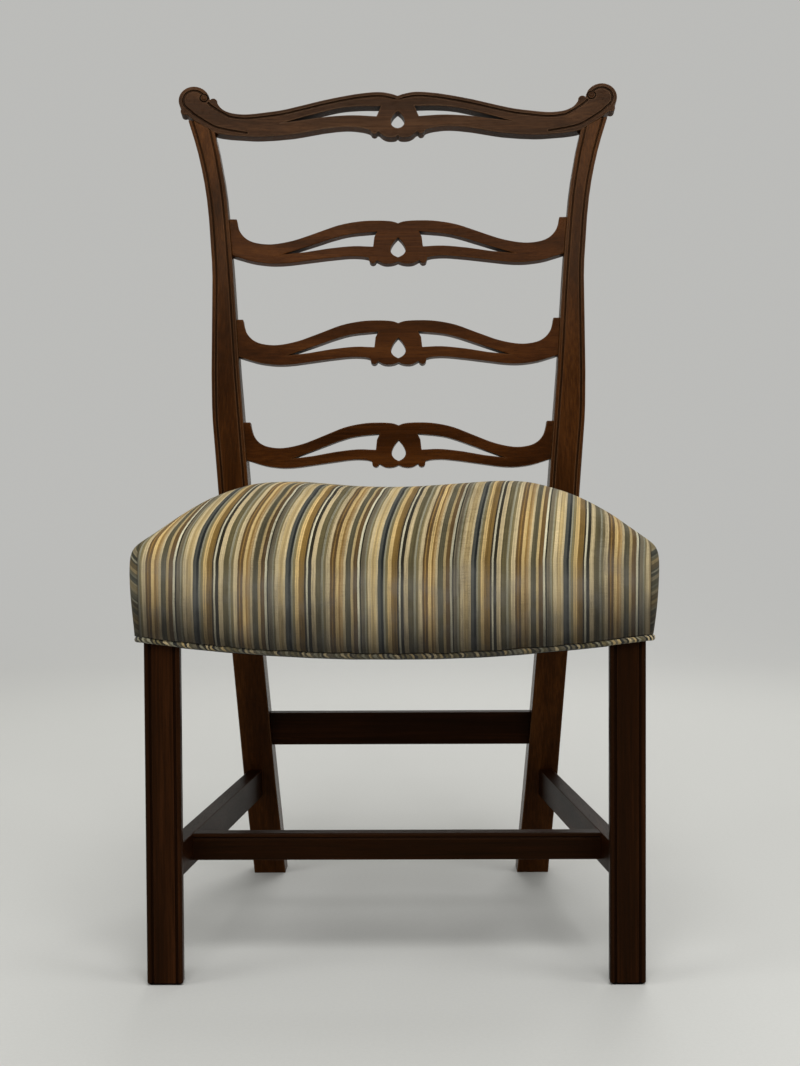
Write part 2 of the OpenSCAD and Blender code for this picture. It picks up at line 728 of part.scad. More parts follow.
module side_rail_rear_tenon(gap) {
    x = rail_x(side_rear_y) - rail_t / 2;
    tenon_box([x - tenon_t / 2, side_rear_y - shoulder, rail_bottom + shoulder],
              [tenon_t, shoulder + tenon_l, rail_h - 2 * shoulder], gap);
}

// Its length stops short of the side rail's tenon in the same post
rear_tenon_end = side_rear_x - rail_t / 2 - tenon_t / 2 - 4 * joint_gap;
module rear_rail_tenon(gap) {
    x0 = post_in(rail_bottom) - shoulder;
    tenon_box([x0, rear_rail_y + (rail_t - tenon_t) / 2, rail_bottom + shoulder],
              [rear_tenon_end - x0, tenon_t, rail_h - 2 * shoulder], gap);
}

module front_seat_rail() {
    x0 = leg_half - leg_w;
    lower = [for (k = [-8 : 8]) [k * x0 / 8, front_low(k * x0 / 8)]];
    color(beech) placed() {
        difference() {
            front_view(0, rail_t) polygon(concat(lower, [[x0, rail_top], [-x0, rail_top]]));
            tack_holes();
            both() front_block_screws(joint_gap);
        }
        both() front_rail_tenon(0);
    }
}

module rear_seat_rail() {
    x = post_out(rail_top);
    color(beech) placed() {
        difference() {
            translate([-x, rear_rail_y, rail_bottom]) cube([2 * x, rail_t, rail_h]);
            both() beyond_post_inner(rail_bottom - over, rail_top + over, 0);
            tack_holes();
            both() rear_block_screws(joint_gap);
        }
        both() rear_rail_tenon(0);
    }
}

module side_seat_rail() {
    y0 = leg_w;
    y1 = side_rear_y + post_t / 2;
    color(beech) placed() {
        difference() {
            translate([0, 0, rail_bottom]) linear_extrude(rail_h)
                polygon([[rail_x(y0) - rail_t, y0], [rail_x(y0), y0],
                         [rail_x(y1), y1], [rail_x(y1) - rail_t, y1]]);
            behind_post_face(rail_bottom - over, rail_top + over, 0);
            tack_holes();
            front_block_screws(joint_gap);
            rear_block_screws(joint_gap);
        }
        side_rail_front_tenon(0);
        side_rail_rear_tenon(0);
    }
}

// Corner blocks and their screws

block_low = rail_top - block_drop - block_h;
block_mid = block_low + block_h / 2;

module front_block() {
    x0 = leg_half - leg_w;
    y1 = leg_w + block_l;
    color(beech) placed() difference() {
        translate([0, 0, block_low]) linear_extrude(block_h)
            polygon([[x0 - block_l, rail_t], [x0, rail_t], [x0, leg_w],
                     [rail_x(leg_w) - rail_t, leg_w], [rail_x(y1) - rail_t, y1]]);
        front_block_screws(joint_gap);
        front_block_counterbores();
    }
}

module rear_block() {
    y0 = side_rear_y - block_l;
    x1 = post_in(block_mid);
    color(beech) placed() difference() {
        translate([0, 0, block_low]) linear_extrude(block_h)
            polygon([[rail_x(y0) - rail_t, y0], [rail_x(side_rear_y + rear_set) - rail_t, rear_rail_y],
                     [x1 - block_l, rear_rail_y]]);
        post_notch(block_low - over, rail_top + over, 0);
        beyond_side_rail();
        rear_block_screws(joint_gap);
        rear_block_counterbores();
    }
}

// Everything outwards of a side rail's inner face, at a rear block
module beyond_side_rail() {
    y0 = side_rear_y - 2 * block_l;
    y1 = rear_rail_y + over;
    translate([0, 0, block_low - over]) linear_extrude(block_h + 2 * over)
        polygon([[rail_x(y0) - rail_t, y0], [far, y0], [far, y1], [rail_x(y1) - rail_t, y1]]);
}

// A screw along +Z, with its head's underside on the origin
module screw(length, gap) {
    translate([0, 0, -screw_head_h]) cylinder(d = screw_head_d, h = screw_head_h, $fn = round_faces);
    cylinder(d = screw_d + 2 * gap, h = length + gap, $fn = round_faces);
}

// The block's sloping face stands this far from the rail at the screw
block_share = 0.42;
front_screw_x = leg_half - leg_w - block_l * block_share;
front_screw_y = leg_w + block_l * block_share;
rear_screw_x = post_in(block_mid) - block_l * block_share;
rear_screw_y = side_rear_y - block_l * block_share;
screw_wood = block_l * (1 - block_share) / 3;

module at_front_screws() {
    translate([front_screw_x, rail_t + screw_wood, block_mid]) rotate([90, 0, 0]) children();
    translate([rail_x(front_screw_y) - rail_t - screw_wood, front_screw_y, block_mid])
        rotate([0, 90, 0]) children();
}

module at_rear_screws() {
    translate([rear_screw_x, rear_rail_y - screw_wood, block_mid]) rotate([-90, 0, 0]) children();
    translate([rail_x(rear_screw_y) - rail_t - screw_wood, rear_screw_y, block_mid])
        rotate([0, 90, 0]) children();
}

module front_block_screws(gap) {
    at_front_screws() screw(screw_wood + screw_bite, gap);
}

module rear_block_screws(gap) {
    at_rear_screws() screw(screw_wood + screw_bite, gap);
}

module counterbore() {
    translate([0, 0, -block_l])
        cylinder(d = screw_head_d + 4 * joint_gap, h = block_l, $fn = round_faces);
}

module front_block_counterbores() {
    at_front_screws() counterbore();
}

module rear_block_counterbores() {
    at_rear_screws() counterbore();
}

module corner_block_screws() {
    color(steel) placed() both() {
        front_block_screws(0);
        rear_block_screws(0);
    }
}

// Stretchers

module side_stretcher_front_tenon(gap) {
    x = stretcher_x(leg_w) - stretcher_t / 2;
    tenon_box([x - tenon_t / 2, leg_w - tenon_l, stretcher_low + shoulder / 2],
              [tenon_t, tenon_l + shoulder, stretcher_h - shoulder], gap);
}

module side_stretcher_rear_tenon(gap) {
    x = stretcher_x(stretcher_rear_y) - stretcher_t / 2;
    tenon_box([x - tenon_t / 2, stretcher_rear_y - shoulder, stretcher_low + shoulder / 2],
              [tenon_t, shoulder + tenon_l, stretcher_h - shoulder], gap);
}

// The cross stretcher's upper edge is level with the side stretchers', and its ends
// meet their inner faces
cross_low = stretcher_low + stretcher_h - cross_h;
stretcher_turn = atan((stretcher_x(leg_w) - stretcher_x(stretcher_rear_y)) / (stretcher_rear_y - leg_w));
function stretcher_inner_x(y) = stretcher_x(y) - stretcher_t / cos(stretcher_turn);
module cross_tenon(gap) {
    y = cross_y + stretcher_t / 2;
    x = stretcher_inner_x(y);
    reach = stretcher_t / 2;
    tenon_box([x - shoulder, y - tenon_t / 2, cross_low + shoulder / 2],
              [shoulder + reach, tenon_t, cross_h - shoulder], gap);
}

module rear_stretcher_tenon(gap) {
    z = rear_low + rear_h / 2;
    y = post_front(z) + post_t / 2;
    tenon_box([post_in(rear_low) - shoulder, y - tenon_t / 2, rear_low + shoulder / 2],
              [shoulder + tenon_l, tenon_t, rear_h - shoulder], gap);
}

// A stretcher's section: the bead along its upper edge is set off by a small quirk
module stretcher_section(high, thick) {
    difference() {
        square([thick, high]);
        translate([-over, high - edge_bead - quirk_w]) square([over + field_drop, quirk_w]);
        translate([0, high - edge_bead / 2]) square([edge_bead / 2, edge_bead]);
    }
    translate([edge_bead / 2, high - edge_bead / 2]) circle(d = edge_bead, $fn = round_faces);
}

module side_stretcher() {
    y1 = stretcher_rear_y + post_t;
    run = (y1 - leg_w) / cos(stretcher_turn);
    color(mahogany) placed() {
        difference() {
            translate([stretcher_x(leg_w), leg_w, stretcher_low]) rotate([90, 0, stretcher_turn])
                translate([0, 0, -run])
                    linear_extrude(run + stretcher_t)
                        mirror([1, 0]) stretcher_section(stretcher_h, stretcher_t);
            leg_blank();
            behind_post_face(stretcher_low - over, stretcher_low + stretcher_h + over, 0);
            cross_tenon(joint_gap);
        }
        side_stretcher_front_tenon(0);
        side_stretcher_rear_tenon(0);
    }
}

module cross_stretcher() {
    y0 = cross_y;
    y1 = cross_y + stretcher_t;
    color(mahogany) placed() {
        intersection() {
            side_view(-far, far) translate([y0, cross_low])
                stretcher_section(cross_h, stretcher_t);
            translate([0, 0, cross_low]) linear_extrude(cross_h)
                polygon([[-stretcher_inner_x(y0), y0], [stretcher_inner_x(y0), y0],
                         [stretcher_inner_x(y1), y1], [-stretcher_inner_x(y1), y1]]);
        }
        both() cross_tenon(0);
    }
}

module rear_stretcher() {
    z = rear_low + rear_h / 2;
    x = post_out(z);
    color(mahogany) placed() {
        difference() {
            translate([-x, post_front(z) + (post_t - rear_t) / 2, rear_low]) cube([2 * x, rear_t, rear_h]);
            both() beyond_post_inner(rear_low - over, rear_low + rear_h + over, 0);
        }
        both() rear_stretcher_tenon(0);
    }
}

// Webbing, tacks and deck

// Clear span inside the rails, and the middles of the strips
web_margin_share = 0.6;
web_inner_x = rail_x(side_rear_y) - rail_t;
web_pitch_x = 2 * web_inner_x / webs_along;
web_pitch_y = (rear_rail_y - rail_t) / (webs_across + web_margin_share);
function web_x(i) = (i - (webs_along - 1) / 2) * web_pitch_x;
function web_y(j) = (rail_t + rear_rail_y) / 2 + (j - (webs_across - 1) / 2) * web_pitch_y;
web_step = web_t + joint_gap;
web_end = rail_t / 8;
// The strips are cut square, inside the rail's outer face all across their width
function web_end_x(j) = rail_x(web_y(j) + web_w / 2) - web_end;
// A strip's long section: flat on the rails, and over or under each strip it crosses
function web_path(start, end, middles, lifts) =
    concat([[start, 0], [start + rail_t, 0]],
           [for (k = [0 : len(middles) - 1]) for (s = [-1, 1])
               [middles[k] + s * (web_w / 2 + web_t), lifts[k] * web_step]],
           [[end - rail_t, 0], [end, 0]]);
module web_section(path) {
    polygon(concat(path, [for (p = reversed(path)) p + [0, web_t]]));
}

module webbing_front_to_back() {
    color(jute) placed() difference() {
        for (i = [0 : webs_along - 1])
            translate([0, 0, rail_top]) side_view(web_x(i) - web_w / 2, web_x(i) + web_w / 2)
                web_section(web_path(web_end, seat_back_y - web_end,
                                     [for (j = [0 : webs_across - 1]) web_y(j)],
                                     [for (j = [0 : webs_across - 1]) (i + j) % 2]));
        tack_holes();
    }
}

module webbing_side_to_side() {
    color(jute) placed() difference() {
        for (j = [0 : webs_across - 1]) {
            x = web_end_x(j);
            translate([0, 0, rail_top]) front_view(web_y(j) - web_w / 2, web_y(j) + web_w / 2)
                web_section(web_path(-x, x,
                                     [for (i = [0 : webs_along - 1]) web_x(i)],
                                     [for (i = [0 : webs_along - 1]) 1 - (i + j) % 2]));
        }
        tack_holes();
    }
}

// Two tacks at each end of every strip
module at_tacks() {
    for (i = [0 : webs_along - 1], s = [-1, 1], y = [rail_t / 2, seat_back_y - rail_t / 2])
        translate([web_x(i) + s * web_w / 4, y, rail_top + web_t]) children();
    for (j = [0 : webs_across - 1], s = [-1, 1], side = [-1, 1])
        translate([side * (web_end_x(j) + web_end - rail_t / 2), web_y(j) + s * web_w / 4,
                   rail_top + web_t])
            children();
}

module tack_holes() {
    wide = tack_shank + 2 * joint_gap;
    at_tacks() translate([-wide / 2, -wide / 2, -tack_l - joint_gap])
        cube([wide, wide, tack_l + 2 * joint_gap]);
}

module webbing_tacks() {
    color(steel) placed() at_tacks() {
        cylinder(d = tack_d, h = tack_h, $fn = round_faces / 2);
        translate([-tack_shank / 2, -tack_shank / 2, -tack_l]) cube([tack_shank, tack_shank, tack_l]);
    }
}

deck_low = rail_top + web_step + web_t + soft_gap;
deck_high = deck_low + deck_t;

module deck_cloth() {
    inset = web_end;
    y1 = seat_back_y - inset;
    color(hessian) placed() difference() {
        translate([0, 0, deck_low]) linear_extrude(deck_t)
            polygon([[rail_x(inset) - inset, inset], [rail_x(y1) - inset, y1],
                     [-rail_x(y1) + inset, y1], [-rail_x(inset) + inset, inset]]);
        both() post_notch(deck_low - over, deck_high + over, soft_gap);
    }
}

// The soft seat

// One level round the seat, at an outward offset from the rails' faces and with the
// given corner radius. Every level has the same points, so levels join into a skin
front_points = 12;
side_points = 8;
rear_points = 6;
corner_steps = 3;
// The most of a level's half width or half depth that its corners may take
round_share = 0.85;
function ring_plan(out, wanted) =
    let (corner = min(wanted, round_share * min(seat_back_y / 2, rail_x(seat_back_y)) + round_share * out),
         y0 = -out + corner, y1 = seat_back_y + out - corner,
         x0 = rail_x(y0) + out - corner, x1 = rail_x(y1) + out - corner,
         right = concat(
             [for (k = [0 : front_points / 2 - 1]) [2 * k / front_points * x0, y0 - corner]],
             arc([x0, y0], corner, -90, 0, corner_steps),
             [for (k = [1 : side_points - 1])
                 let (y = y0 + (y1 - y0) * k / side_points) [rail_x(y) + out, y]],
             arc([x1, y1], corner, 0, 90, corner_steps),
             [for (k = [rear_points / 2 - 1 : -1 : 1]) [2 * k / rear_points * x1, y1 + corner]]))
    concat(right, [[0, y1 + corner]],
           [for (i = [len(right) - 1 : -1 : 1]) [-right[i][0], right[i][1]]]);

// Shares of the way across or along the seat, and the rise of the crown there
crown_side_shares = [[0, 1], [0.30, 1], [0.56, 1], [0.70, 0.91], [0.82, 0.68], [0.93, 0.36], [1, 0]];
crown_depth_shares = [[0, 0], [0.034, 0.38], [0.09, 0.63], [0.16, 0.87], [0.25, 1], [0.45, 0.99],
                      [0.65, 0.93], [0.85, 0.74], [0.93, 0.56], [1, 0.12]];
function crown(x, y, out) =
    let (u = min(abs(x) / (rail_x(y) + out), 1),
         v = min(max((y + out) / (seat_back_y + 2 * out), 0), 1))
    lookup(u, crown_side_shares) * lookup(v, crown_depth_shares);
dip_share = 0.6;
function dip(x) = crown_dip * pow(cos(90 * min(abs(x) / (dip_share * leg_half), 1)), 2);
// Height of the seat's lower edge round the rails
function hem_z(x, y) =
    let (v = min(max(y / rail_t, 0), 1)) rail_bottom * v + front_low(x) * (1 - v);

// A skin's levels, from its lower edge to its crown: outward share, height share of
// the side, and inward offset over the top
side_level_shares = [[0, 0], [0.62, 0.28], [0.95, 0.62], [1, 0.9]];
// How fast the corners round off towards the crown, as a share of the inset
corner_share = 0.8;
top_inset_shares = [0.012, 0.035, 0.075, 0.135, 0.21, 0.30, 0.40, 0.50];
// One surface of a soft layer, "down" inside the cover: rows of points
function skin(low_out, edge_out, down, low_lift) =
    concat(
        [for (s = side_level_shares)
            let (out = low_out + (edge_out - low_out) * s[0])
            [for (p = ring_plan(out, min(2 * edge_out + corner_r, corner_r + out)))
                let (z0 = hem_z(p[0], p[1]) + low_lift)
                [p[0], p[1], z0 + (seat_edge - down - z0) * s[1]]]],
        [for (t = top_inset_shares)
            let (inset = t * seat_back_y)
            [for (p = ring_plan(edge_out - inset, corner_r + corner_share * inset))
                [p[0], p[1], seat_edge - down
                    + (seat_top - seat_edge) * crown(p[0], p[1], edge_out)
                    - dip(p[0]) * crown(p[0], p[1], edge_out)]]]);
corner_r = bead_d;

// Faces between the levels of a skin, and round its ends
function band_face(n, a, b, i, flip) =
    let (j = (i + 1) % n)
    flip ? [[a * n + i, b * n + j, a * n + j], [a * n + i, b * n + i, b * n + j]]
         : [[a * n + i, a * n + j, b * n + j], [a * n + i, b * n + j, b * n + i]];
function bands(n, first, last, flip) =
    [for (k = [first : last - 1]) for (i = [0 : n - 1]) each band_face(n, k, k + 1, i, flip)];
function cap(n, level, centre, flip) =
    [for (i = [0 : n - 1]) let (a = level * n + i, b = level * n + (i + 1) % n)
        flip ? [b, a, centre] : [a, b, centre]];
function middle_of(row) = [0, (row[0][1] + row[len(row) / 2][1]) / 2, row[0][2]];

// A layer between an outer and an inner skin, open below
module layer(outer, inner) {
    n = len(outer[0]);
    rows = len(outer);
    points = concat([for (row = outer) each row], [for (row = inner) each row],
                    [middle_of(outer[rows - 1]), middle_of(inner[rows - 1])]);
    centre_out = 2 * rows * n;
    polyhedron(points = points, convexity = 6, faces = concat(
        bands(n, 0, rows - 1, true),
        bands(n, rows, 2 * rows - 1, false),
        [for (i = [0 : n - 1]) each band_face(n, rows, 0, i, true)],
        cap(n, rows - 1, centre_out, true),
        cap(n, 2 * rows - 1, centre_out + 1, false)));
}

under_cover = cover_t + soft_gap;
under_wadding = under_cover + wadding_t + soft_gap;
hem_lift = welt_d + soft_gap;

module seat_cover() {
    color(stripe_gold) placed() difference() {
        layer(skin(cover_stand, cover_bulge, 0, hem_lift),
              skin(cover_stand - cover_t, cover_bulge - cover_t, cover_t, hem_lift));
        both() post_notch(rail_bottom - saddle, seat_top + over, soft_gap);
    }
}

module seat_wadding() {
    color(cotton) placed() difference() {
        layer(skin(cover_stand - under_cover, cover_bulge - under_cover, under_cover, hem_lift),
              skin(soft_gap, cover_bulge - under_wadding + soft_gap,
                   under_wadding - soft_gap, hem_lift));
        both() post_notch(rail_bottom - saddle, seat_top + over, soft_gap);
    }
}

// The foam block, on the deck and crowned under the wadding
module seat_foam() {
    base = [for (p = ring_plan(0, corner_r)) [p[0], p[1], deck_high + soft_gap]];
    levels = skin(0, cover_bulge - under_wadding, under_wadding, hem_lift);
    rows = concat([base], [for (k = [len(side_level_shares) - 1 : len(levels) - 1]) levels[k]]);
    n = len(base);
    last = len(rows) - 1;
    color(foam_cream) placed() difference() {
        polyhedron(points = concat([for (row = rows) each row],
                                   [middle_of(rows[last]), middle_of(base)]),
                   faces = concat(bands(n, 0, last, true), cap(n, last, (last + 1) * n, true),
                                  cap(n, 0, (last + 1) * n + 1, false)), convexity = 4);
        both() post_notch(rail_bottom, seat_top + over, soft_gap);
    }
}

// A round cord along a path that lies nearly level
cord_sides = 8;
module cord(path, d) {
    last = len(path) - 1;
    points = [for (i = [0 : last])
        let (t = path[min(i + 1, last)] - path[max(i - 1, 0)],
             out = [t[1], -t[0], 0] / norm([t[0], t[1]]))
        for (k = [0 : cord_sides - 1])
            let (a = 360 * k / cord_sides)
            path[i] + d / 2 * (cos(a) * out + sin(a) * [0, 0, 1])];
    polyhedron(points = points, convexity = 4, faces = concat(
        bands(cord_sides, 0, last, false),
        [[for (k = [cord_sides - 1 : -1 : 0]) k]],
        [[for (k = [0 : cord_sides - 1]) last * cord_sides + k]]));
}

// The welt: round the front and sides from post to post, and across the back
module seat_welt() {
    out = soft_gap + welt_d / 2;
    plan = ring_plan(out, corner_r);
    n = len(plan);
    half = [for (p = plan) if (p[0] >= 0 && p[1] < side_rear_y - welt_d) p];
    end = [rail_x(side_rear_y) + out, post_front(rail_bottom) - welt_d];
    right = concat(half, [end]);
    left = [for (i = [len(right) - 1 : -1 : 1]) [-right[i][0], right[i][1]]];
    back_y = seat_back_y + out;
    back_x = post_in(rail_bottom) - welt_d;
    color(welt_slate) placed() {
        cord([for (p = concat(left, right)) [p[0], p[1], hem_z(p[0], p[1]) + welt_d / 2]], welt_d);
        cord([for (k = [-3 : 3]) [-k * back_x / 3, back_y, rail_bottom + welt_d / 2]], welt_d);
    }
}

// The dust cover, stretched under the rails and cut round the legs
dust_columns = 12;
module dust_cover() {
    rows_y = [web_end, rail_t + web_end, rear_rail_y - web_end, seat_back_y - web_end];
    n = dust_columns + 1;
    function place(r, c, drop) =
        let (y = rows_y[r], x = (2 * c / dust_columns - 1) * (rail_x(y) - web_end),
             z = r < 2 ? front_low(x) : rail_bottom)
        [x, y, z - soft_gap - drop];
    points = [for (drop = [0, dust_t]) for (r = [0 : 3]) for (c = [0 : dust_columns]) place(r, c, drop)];
    under = 4 * n;
    faces = concat(
        [for (r = [0 : 2]) for (c = [0 : dust_columns - 1])
            let (a = r * n + c) each [[a, a + n + 1, a + 1], [a, a + n, a + n + 1]]],
        [for (r = [0 : 2]) for (c = [0 : dust_columns - 1])
            let (a = under + r * n + c) each [[a, a + 1, a + n + 1], [a, a + n + 1, a + n]]],
        [for (c = [0 : dust_columns - 1]) each [[c, c + 1, under + c + 1], [c, under + c + 1, under + c]]],
        [for (c = [0 : dust_columns - 1]) let (a = 3 * n + c)
            each [[a, under + a + 1, a + 1], [a, under + a, under + a + 1]]],
        [for (r = [0 : 2]) let (a = r * n)
            each [[a, under + a, under + a + n], [a, under + a + n, a + n]]],
        [for (r = [0 : 2]) let (a = r * n + dust_columns)
            each [[a, a + n, under + a + n], [a, under + a + n, under + a]]]);
    color(cambric) placed() difference() {
        polyhedron(points = points, faces = faces, convexity = 4);
        both() {
            translate([leg_half - leg_w - soft_gap, -over, 0])
                cube([far, leg_w + over + soft_gap, far]);
            post_notch(rail_bottom - saddle - over, rail_top, soft_gap);
        }
    }
}

// Pieces that have a left and a right

module left() {
    mirror([1, 0, 0]) children();
}

crest_rail();
left() back_post();  // back_post_left
back_post();  // back_post_right
slat(2);  // top_slat
slat(1);  // middle_slat
slat(0);  // bottom_slat
left() front_leg();  // front_leg_left
front_leg();  // front_leg_right
front_seat_rail();
rear_seat_rail();
left() side_seat_rail();  // side_seat_rail_left
side_seat_rail();  // side_seat_rail_right
left() front_block();  // corner_block_front_left
front_block();  // corner_block_front_right
left() rear_block();  // corner_block_rear_left
rear_block();  // corner_block_rear_right
corner_block_screws();
left() side_stretcher();  // side_stretcher_left
side_stretcher();  // side_stretcher_right
cross_stretcher();
rear_stretcher();
webbing_front_to_back();
webbing_side_to_side();
webbing_tacks();
deck_cloth();
seat_foam();
seat_wadding();
seat_cover();
seat_welt();
dust_cover();
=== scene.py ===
"""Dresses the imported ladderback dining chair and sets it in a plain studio.

The wooden pieces are the frame's own solids with their facets smoothed and a polished
finish. The seat's soft pieces are drawn out of the frame's solids, refined and, for the
striped cover, blown up as cloth over its stuffing.
"""

from __future__ import annotations

import logging
import math
from collections import Counter
from collections.abc import Callable
from dataclasses import dataclass
from enum import Enum
from functools import cache

import bpy
from mathutils import Matrix, Vector, noise


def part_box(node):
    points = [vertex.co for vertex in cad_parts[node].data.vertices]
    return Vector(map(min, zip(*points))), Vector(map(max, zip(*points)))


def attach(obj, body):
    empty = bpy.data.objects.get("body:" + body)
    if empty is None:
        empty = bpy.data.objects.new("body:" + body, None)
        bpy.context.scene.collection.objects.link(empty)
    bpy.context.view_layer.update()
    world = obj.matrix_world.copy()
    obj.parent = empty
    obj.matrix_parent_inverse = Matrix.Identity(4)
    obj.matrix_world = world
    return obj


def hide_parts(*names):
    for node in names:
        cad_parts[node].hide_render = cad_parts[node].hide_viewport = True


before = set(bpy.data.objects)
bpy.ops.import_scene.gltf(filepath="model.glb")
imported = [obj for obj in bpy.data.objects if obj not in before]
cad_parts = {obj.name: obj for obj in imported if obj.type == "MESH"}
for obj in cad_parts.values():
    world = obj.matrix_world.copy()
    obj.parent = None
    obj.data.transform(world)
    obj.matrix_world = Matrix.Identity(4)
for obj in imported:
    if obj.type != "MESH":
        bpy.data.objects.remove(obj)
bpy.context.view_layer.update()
MM = 0.001
FULL_TURN = 2 * math.pi
WELD = 0.02 * MM
FLAT_WITHIN = math.radians(1.5)
log = logging.getLogger("dining_chair")

Colour = tuple[float, float, float, float]
Place = tuple[float, float, float]
Stops = list[tuple[float, Colour]]
Inputs = dict[int | str, object]
Piece = bpy.types.Object
Material = bpy.types.Material


def tint(red: int, green: int, blue: int) -> Colour:
    """Light values, with full cover, of a screen's red, green and blue from 0 to 255."""

    def linear(level: int) -> float:
        """Linear value of one channel."""
        share = level / 255
        return share / 12.92 if share <= 0.04045 else ((share + 0.055) / 1.055) ** 2.4

    return (linear(red), linear(green), linear(blue), 1.0)


# Shader building


def operation(name: str, swapped: bool = False) -> Callable[..., Wire]:
    """A method of Wire that adds one Math node, with the wire itself first or last."""

    def method(self: Wire, *others: Wire | float) -> Wire:
        """Adds the node, and gives its result."""
        values = (*others, self) if swapped else (self, *others)
        return self.graph.node("Math", {"operation": name}, dict(enumerate(values)))

    return method


class Wire:
    """A number in a shader, on which Python's arithmetic adds Math nodes."""

    def __init__(self, graph: Graph, socket: bpy.types.NodeSocket) -> None:
        """Keeps the socket that gives the number, and the nodes it belongs to."""
        self.graph = graph
        self.socket = socket

    __add__ = operation("ADD")
    __radd__ = operation("ADD", swapped=True)
    __sub__ = operation("SUBTRACT")
    __rsub__ = operation("SUBTRACT", swapped=True)
    __mul__ = operation("MULTIPLY")
    __rmul__ = operation("MULTIPLY", swapped=True)
    __truediv__ = operation("DIVIDE")
    __abs__ = operation("ABSOLUTE")
    over = operation("GREATER_THAN")
    floor = operation("FLOOR")
    fract = operation("FRACT")
    sign = operation("SIGN")
    sine = operation("SINE")

    def ramp(self, low: float, high: float, to_low: float = 0.0, to_high: float = 1.0) -> Wire:
        """Carries a stretch of values over to another, and stops at its ends.

        Args:
            low: Value that gives to_low.
            high: Value that gives to_high.
            to_low: Result at low and beyond.
            to_high: Result at high and beyond.

        Returns:
            The result, eased at both ends.
        """
        return self.graph.node(
            "MapRange",
            {"interpolation_type": "SMOOTHSTEP"},
            {0: self, 1: low, 2: high, 3: to_low, 4: to_high},
        )


class Graph:
    """The nodes of one material, or of the world."""

    def __init__(self, owner: Material | bpy.types.World) -> None:
        """Empties the owner's nodes."""
        self.owner = owner
        owner.use_nodes = True
        self.tree = owner.node_tree
        self.tree.nodes.clear()

    @classmethod
    def of_material(cls, name: str) -> Graph:
        """The empty nodes of a new material of that name."""
        return cls(bpy.data.materials.new(name))

    def node(
        self,
        kind: str,
        settings: dict[str, object] | None = None,
        inputs: Inputs | None = None,
        output: int | str = 0,
    ) -> Wire:
        """Adds a node, sets it and wires it.

        Args:
            kind: The node's type, without its first word.
            settings: The node's own settings; stops and blend are a colour ramp's.
            inputs: Values or wires by socket.
            output: The socket that the result comes from.

        Returns:
            The wire from that output.
        """
        made = self.tree.nodes.new("ShaderNode" + kind)
        for name, value in (settings or {}).items():
            if name == "stops":
                self.set_stops(made.color_ramp, value)
            elif name == "blend":
                made.color_ramp.interpolation = value
            else:
                setattr(made, name, value)
        for key, value in (inputs or {}).items():
            if isinstance(value, Wire):
                self.tree.links.new(value.socket, made.inputs[key])
            else:
                made.inputs[key].default_value = value
        return Wire(self, made.outputs[output])

    @staticmethod
    def set_stops(ramp: bpy.types.ColorRamp, stops: Stops) -> None:
        """Gives a colour ramp its stops, in order from the lowest."""
        ramp.elements.remove(ramp.elements[1])
        ramp.elements[0].position, ramp.elements[0].color = stops[0]
        for place, colour in stops[1:]:
            ramp.elements.new(place).color = colour

    def place(self) -> Wire:
        """Place on the object, in metres."""
        return self.node("TexCoord", output="Object")

    def parts(self, vector: Wire) -> tuple[Wire, Wire, Wire]:
        """The three numbers of a vector."""
        first = self.node("SeparateXYZ", {}, {0: vector}, 0)
        outputs = first.socket.node.outputs
        return first, Wire(self, outputs[1]), Wire(self, outputs[2])

    def vector(self, x: Wire | float, y: Wire | float, z: Wire | float) -> Wire:
        """A vector out of three numbers."""
        return self.node("CombineXYZ", {}, {0: x, 1: y, 2: z})

    def scaled(self, vector: Wire, scale: Place) -> Wire:
        """A vector with each of its numbers multiplied."""
        return self.node("VectorMath", {"operation": "MULTIPLY"}, {0: vector, 1: scale})

    def noise(self, vector: Wire, scale: Place | float, detail: float = 2.0) -> Wire:
        """Noise from nought to one, with so many blotches to the metre each way."""
        each = scale if isinstance(scale, tuple) else (scale, scale, scale)
        return self.node(
            "TexNoise", {}, {"Vector": self.scaled(vector, each), "Scale": 1.0, "Detail": detail}
        )

    def colours(self, value: Wire, stops: Stops, blend: str = "LINEAR") -> Wire:
        """A colour for each value from nought to one."""
        return self.node("ValToRGB", {"stops": stops, "blend": blend}, {0: value})

    def mix(self, share: Wire | float, low: object, high: object, how: str = "MIX") -> Wire:
        """Mixes two colours; share says how much of high there is."""
        return self.node(
            "Mix", {"data_type": "RGBA", "blend_type": how}, {0: share, 6: low, 7: high}, 2
        )

    def multiplied(self, colour: Wire, by: Place) -> Wire:
        """A colour with each of its channels multiplied."""
        return self.mix(1.0, colour, (*by, 1.0), "MULTIPLY")

    def bump(self, height: Wire, strength: float, depth: float, normal: Wire | None = None) -> Wire:
        """A surface normal that follows a height from nought to one.

        Args:
            height: The height.
            strength: How much of it shows.
            depth: What one stands for, in metres.
            normal: The normal that it starts from.

        Returns:
            The new normal.
        """
        inputs: Inputs = {"Height": height, "Strength": strength, "Distance": depth}
        if normal is not None:
            inputs["Normal"] = normal
        return self.node("Bump", {}, inputs)

    def finish(self, **sockets: object) -> Material:
        """Ends the material in one surface shader, its inputs named with underscores."""
        surface = self.node(
            "BsdfPrincipled", {}, {name.replace("_", " "): value for name, value in sockets.items()}
        )
        self.lead_out(surface)
        return self.owner

    def lead_out(self, surface: Wire, kind: str = "OutputMaterial") -> None:
        """Leads a shader to the output."""
        out = self.tree.nodes.new("ShaderNode" + kind)
        self.tree.links.new(surface.socket, out.inputs["Surface"])


# Finishes


class Grain(Enum):
    """The way that a piece's grain runs, as the order its axes are read in."""

    ALONG_X = (0, 1, 2)
    ALONG_Y = (1, 0, 2)
    ALONG_Z = (2, 1, 0)


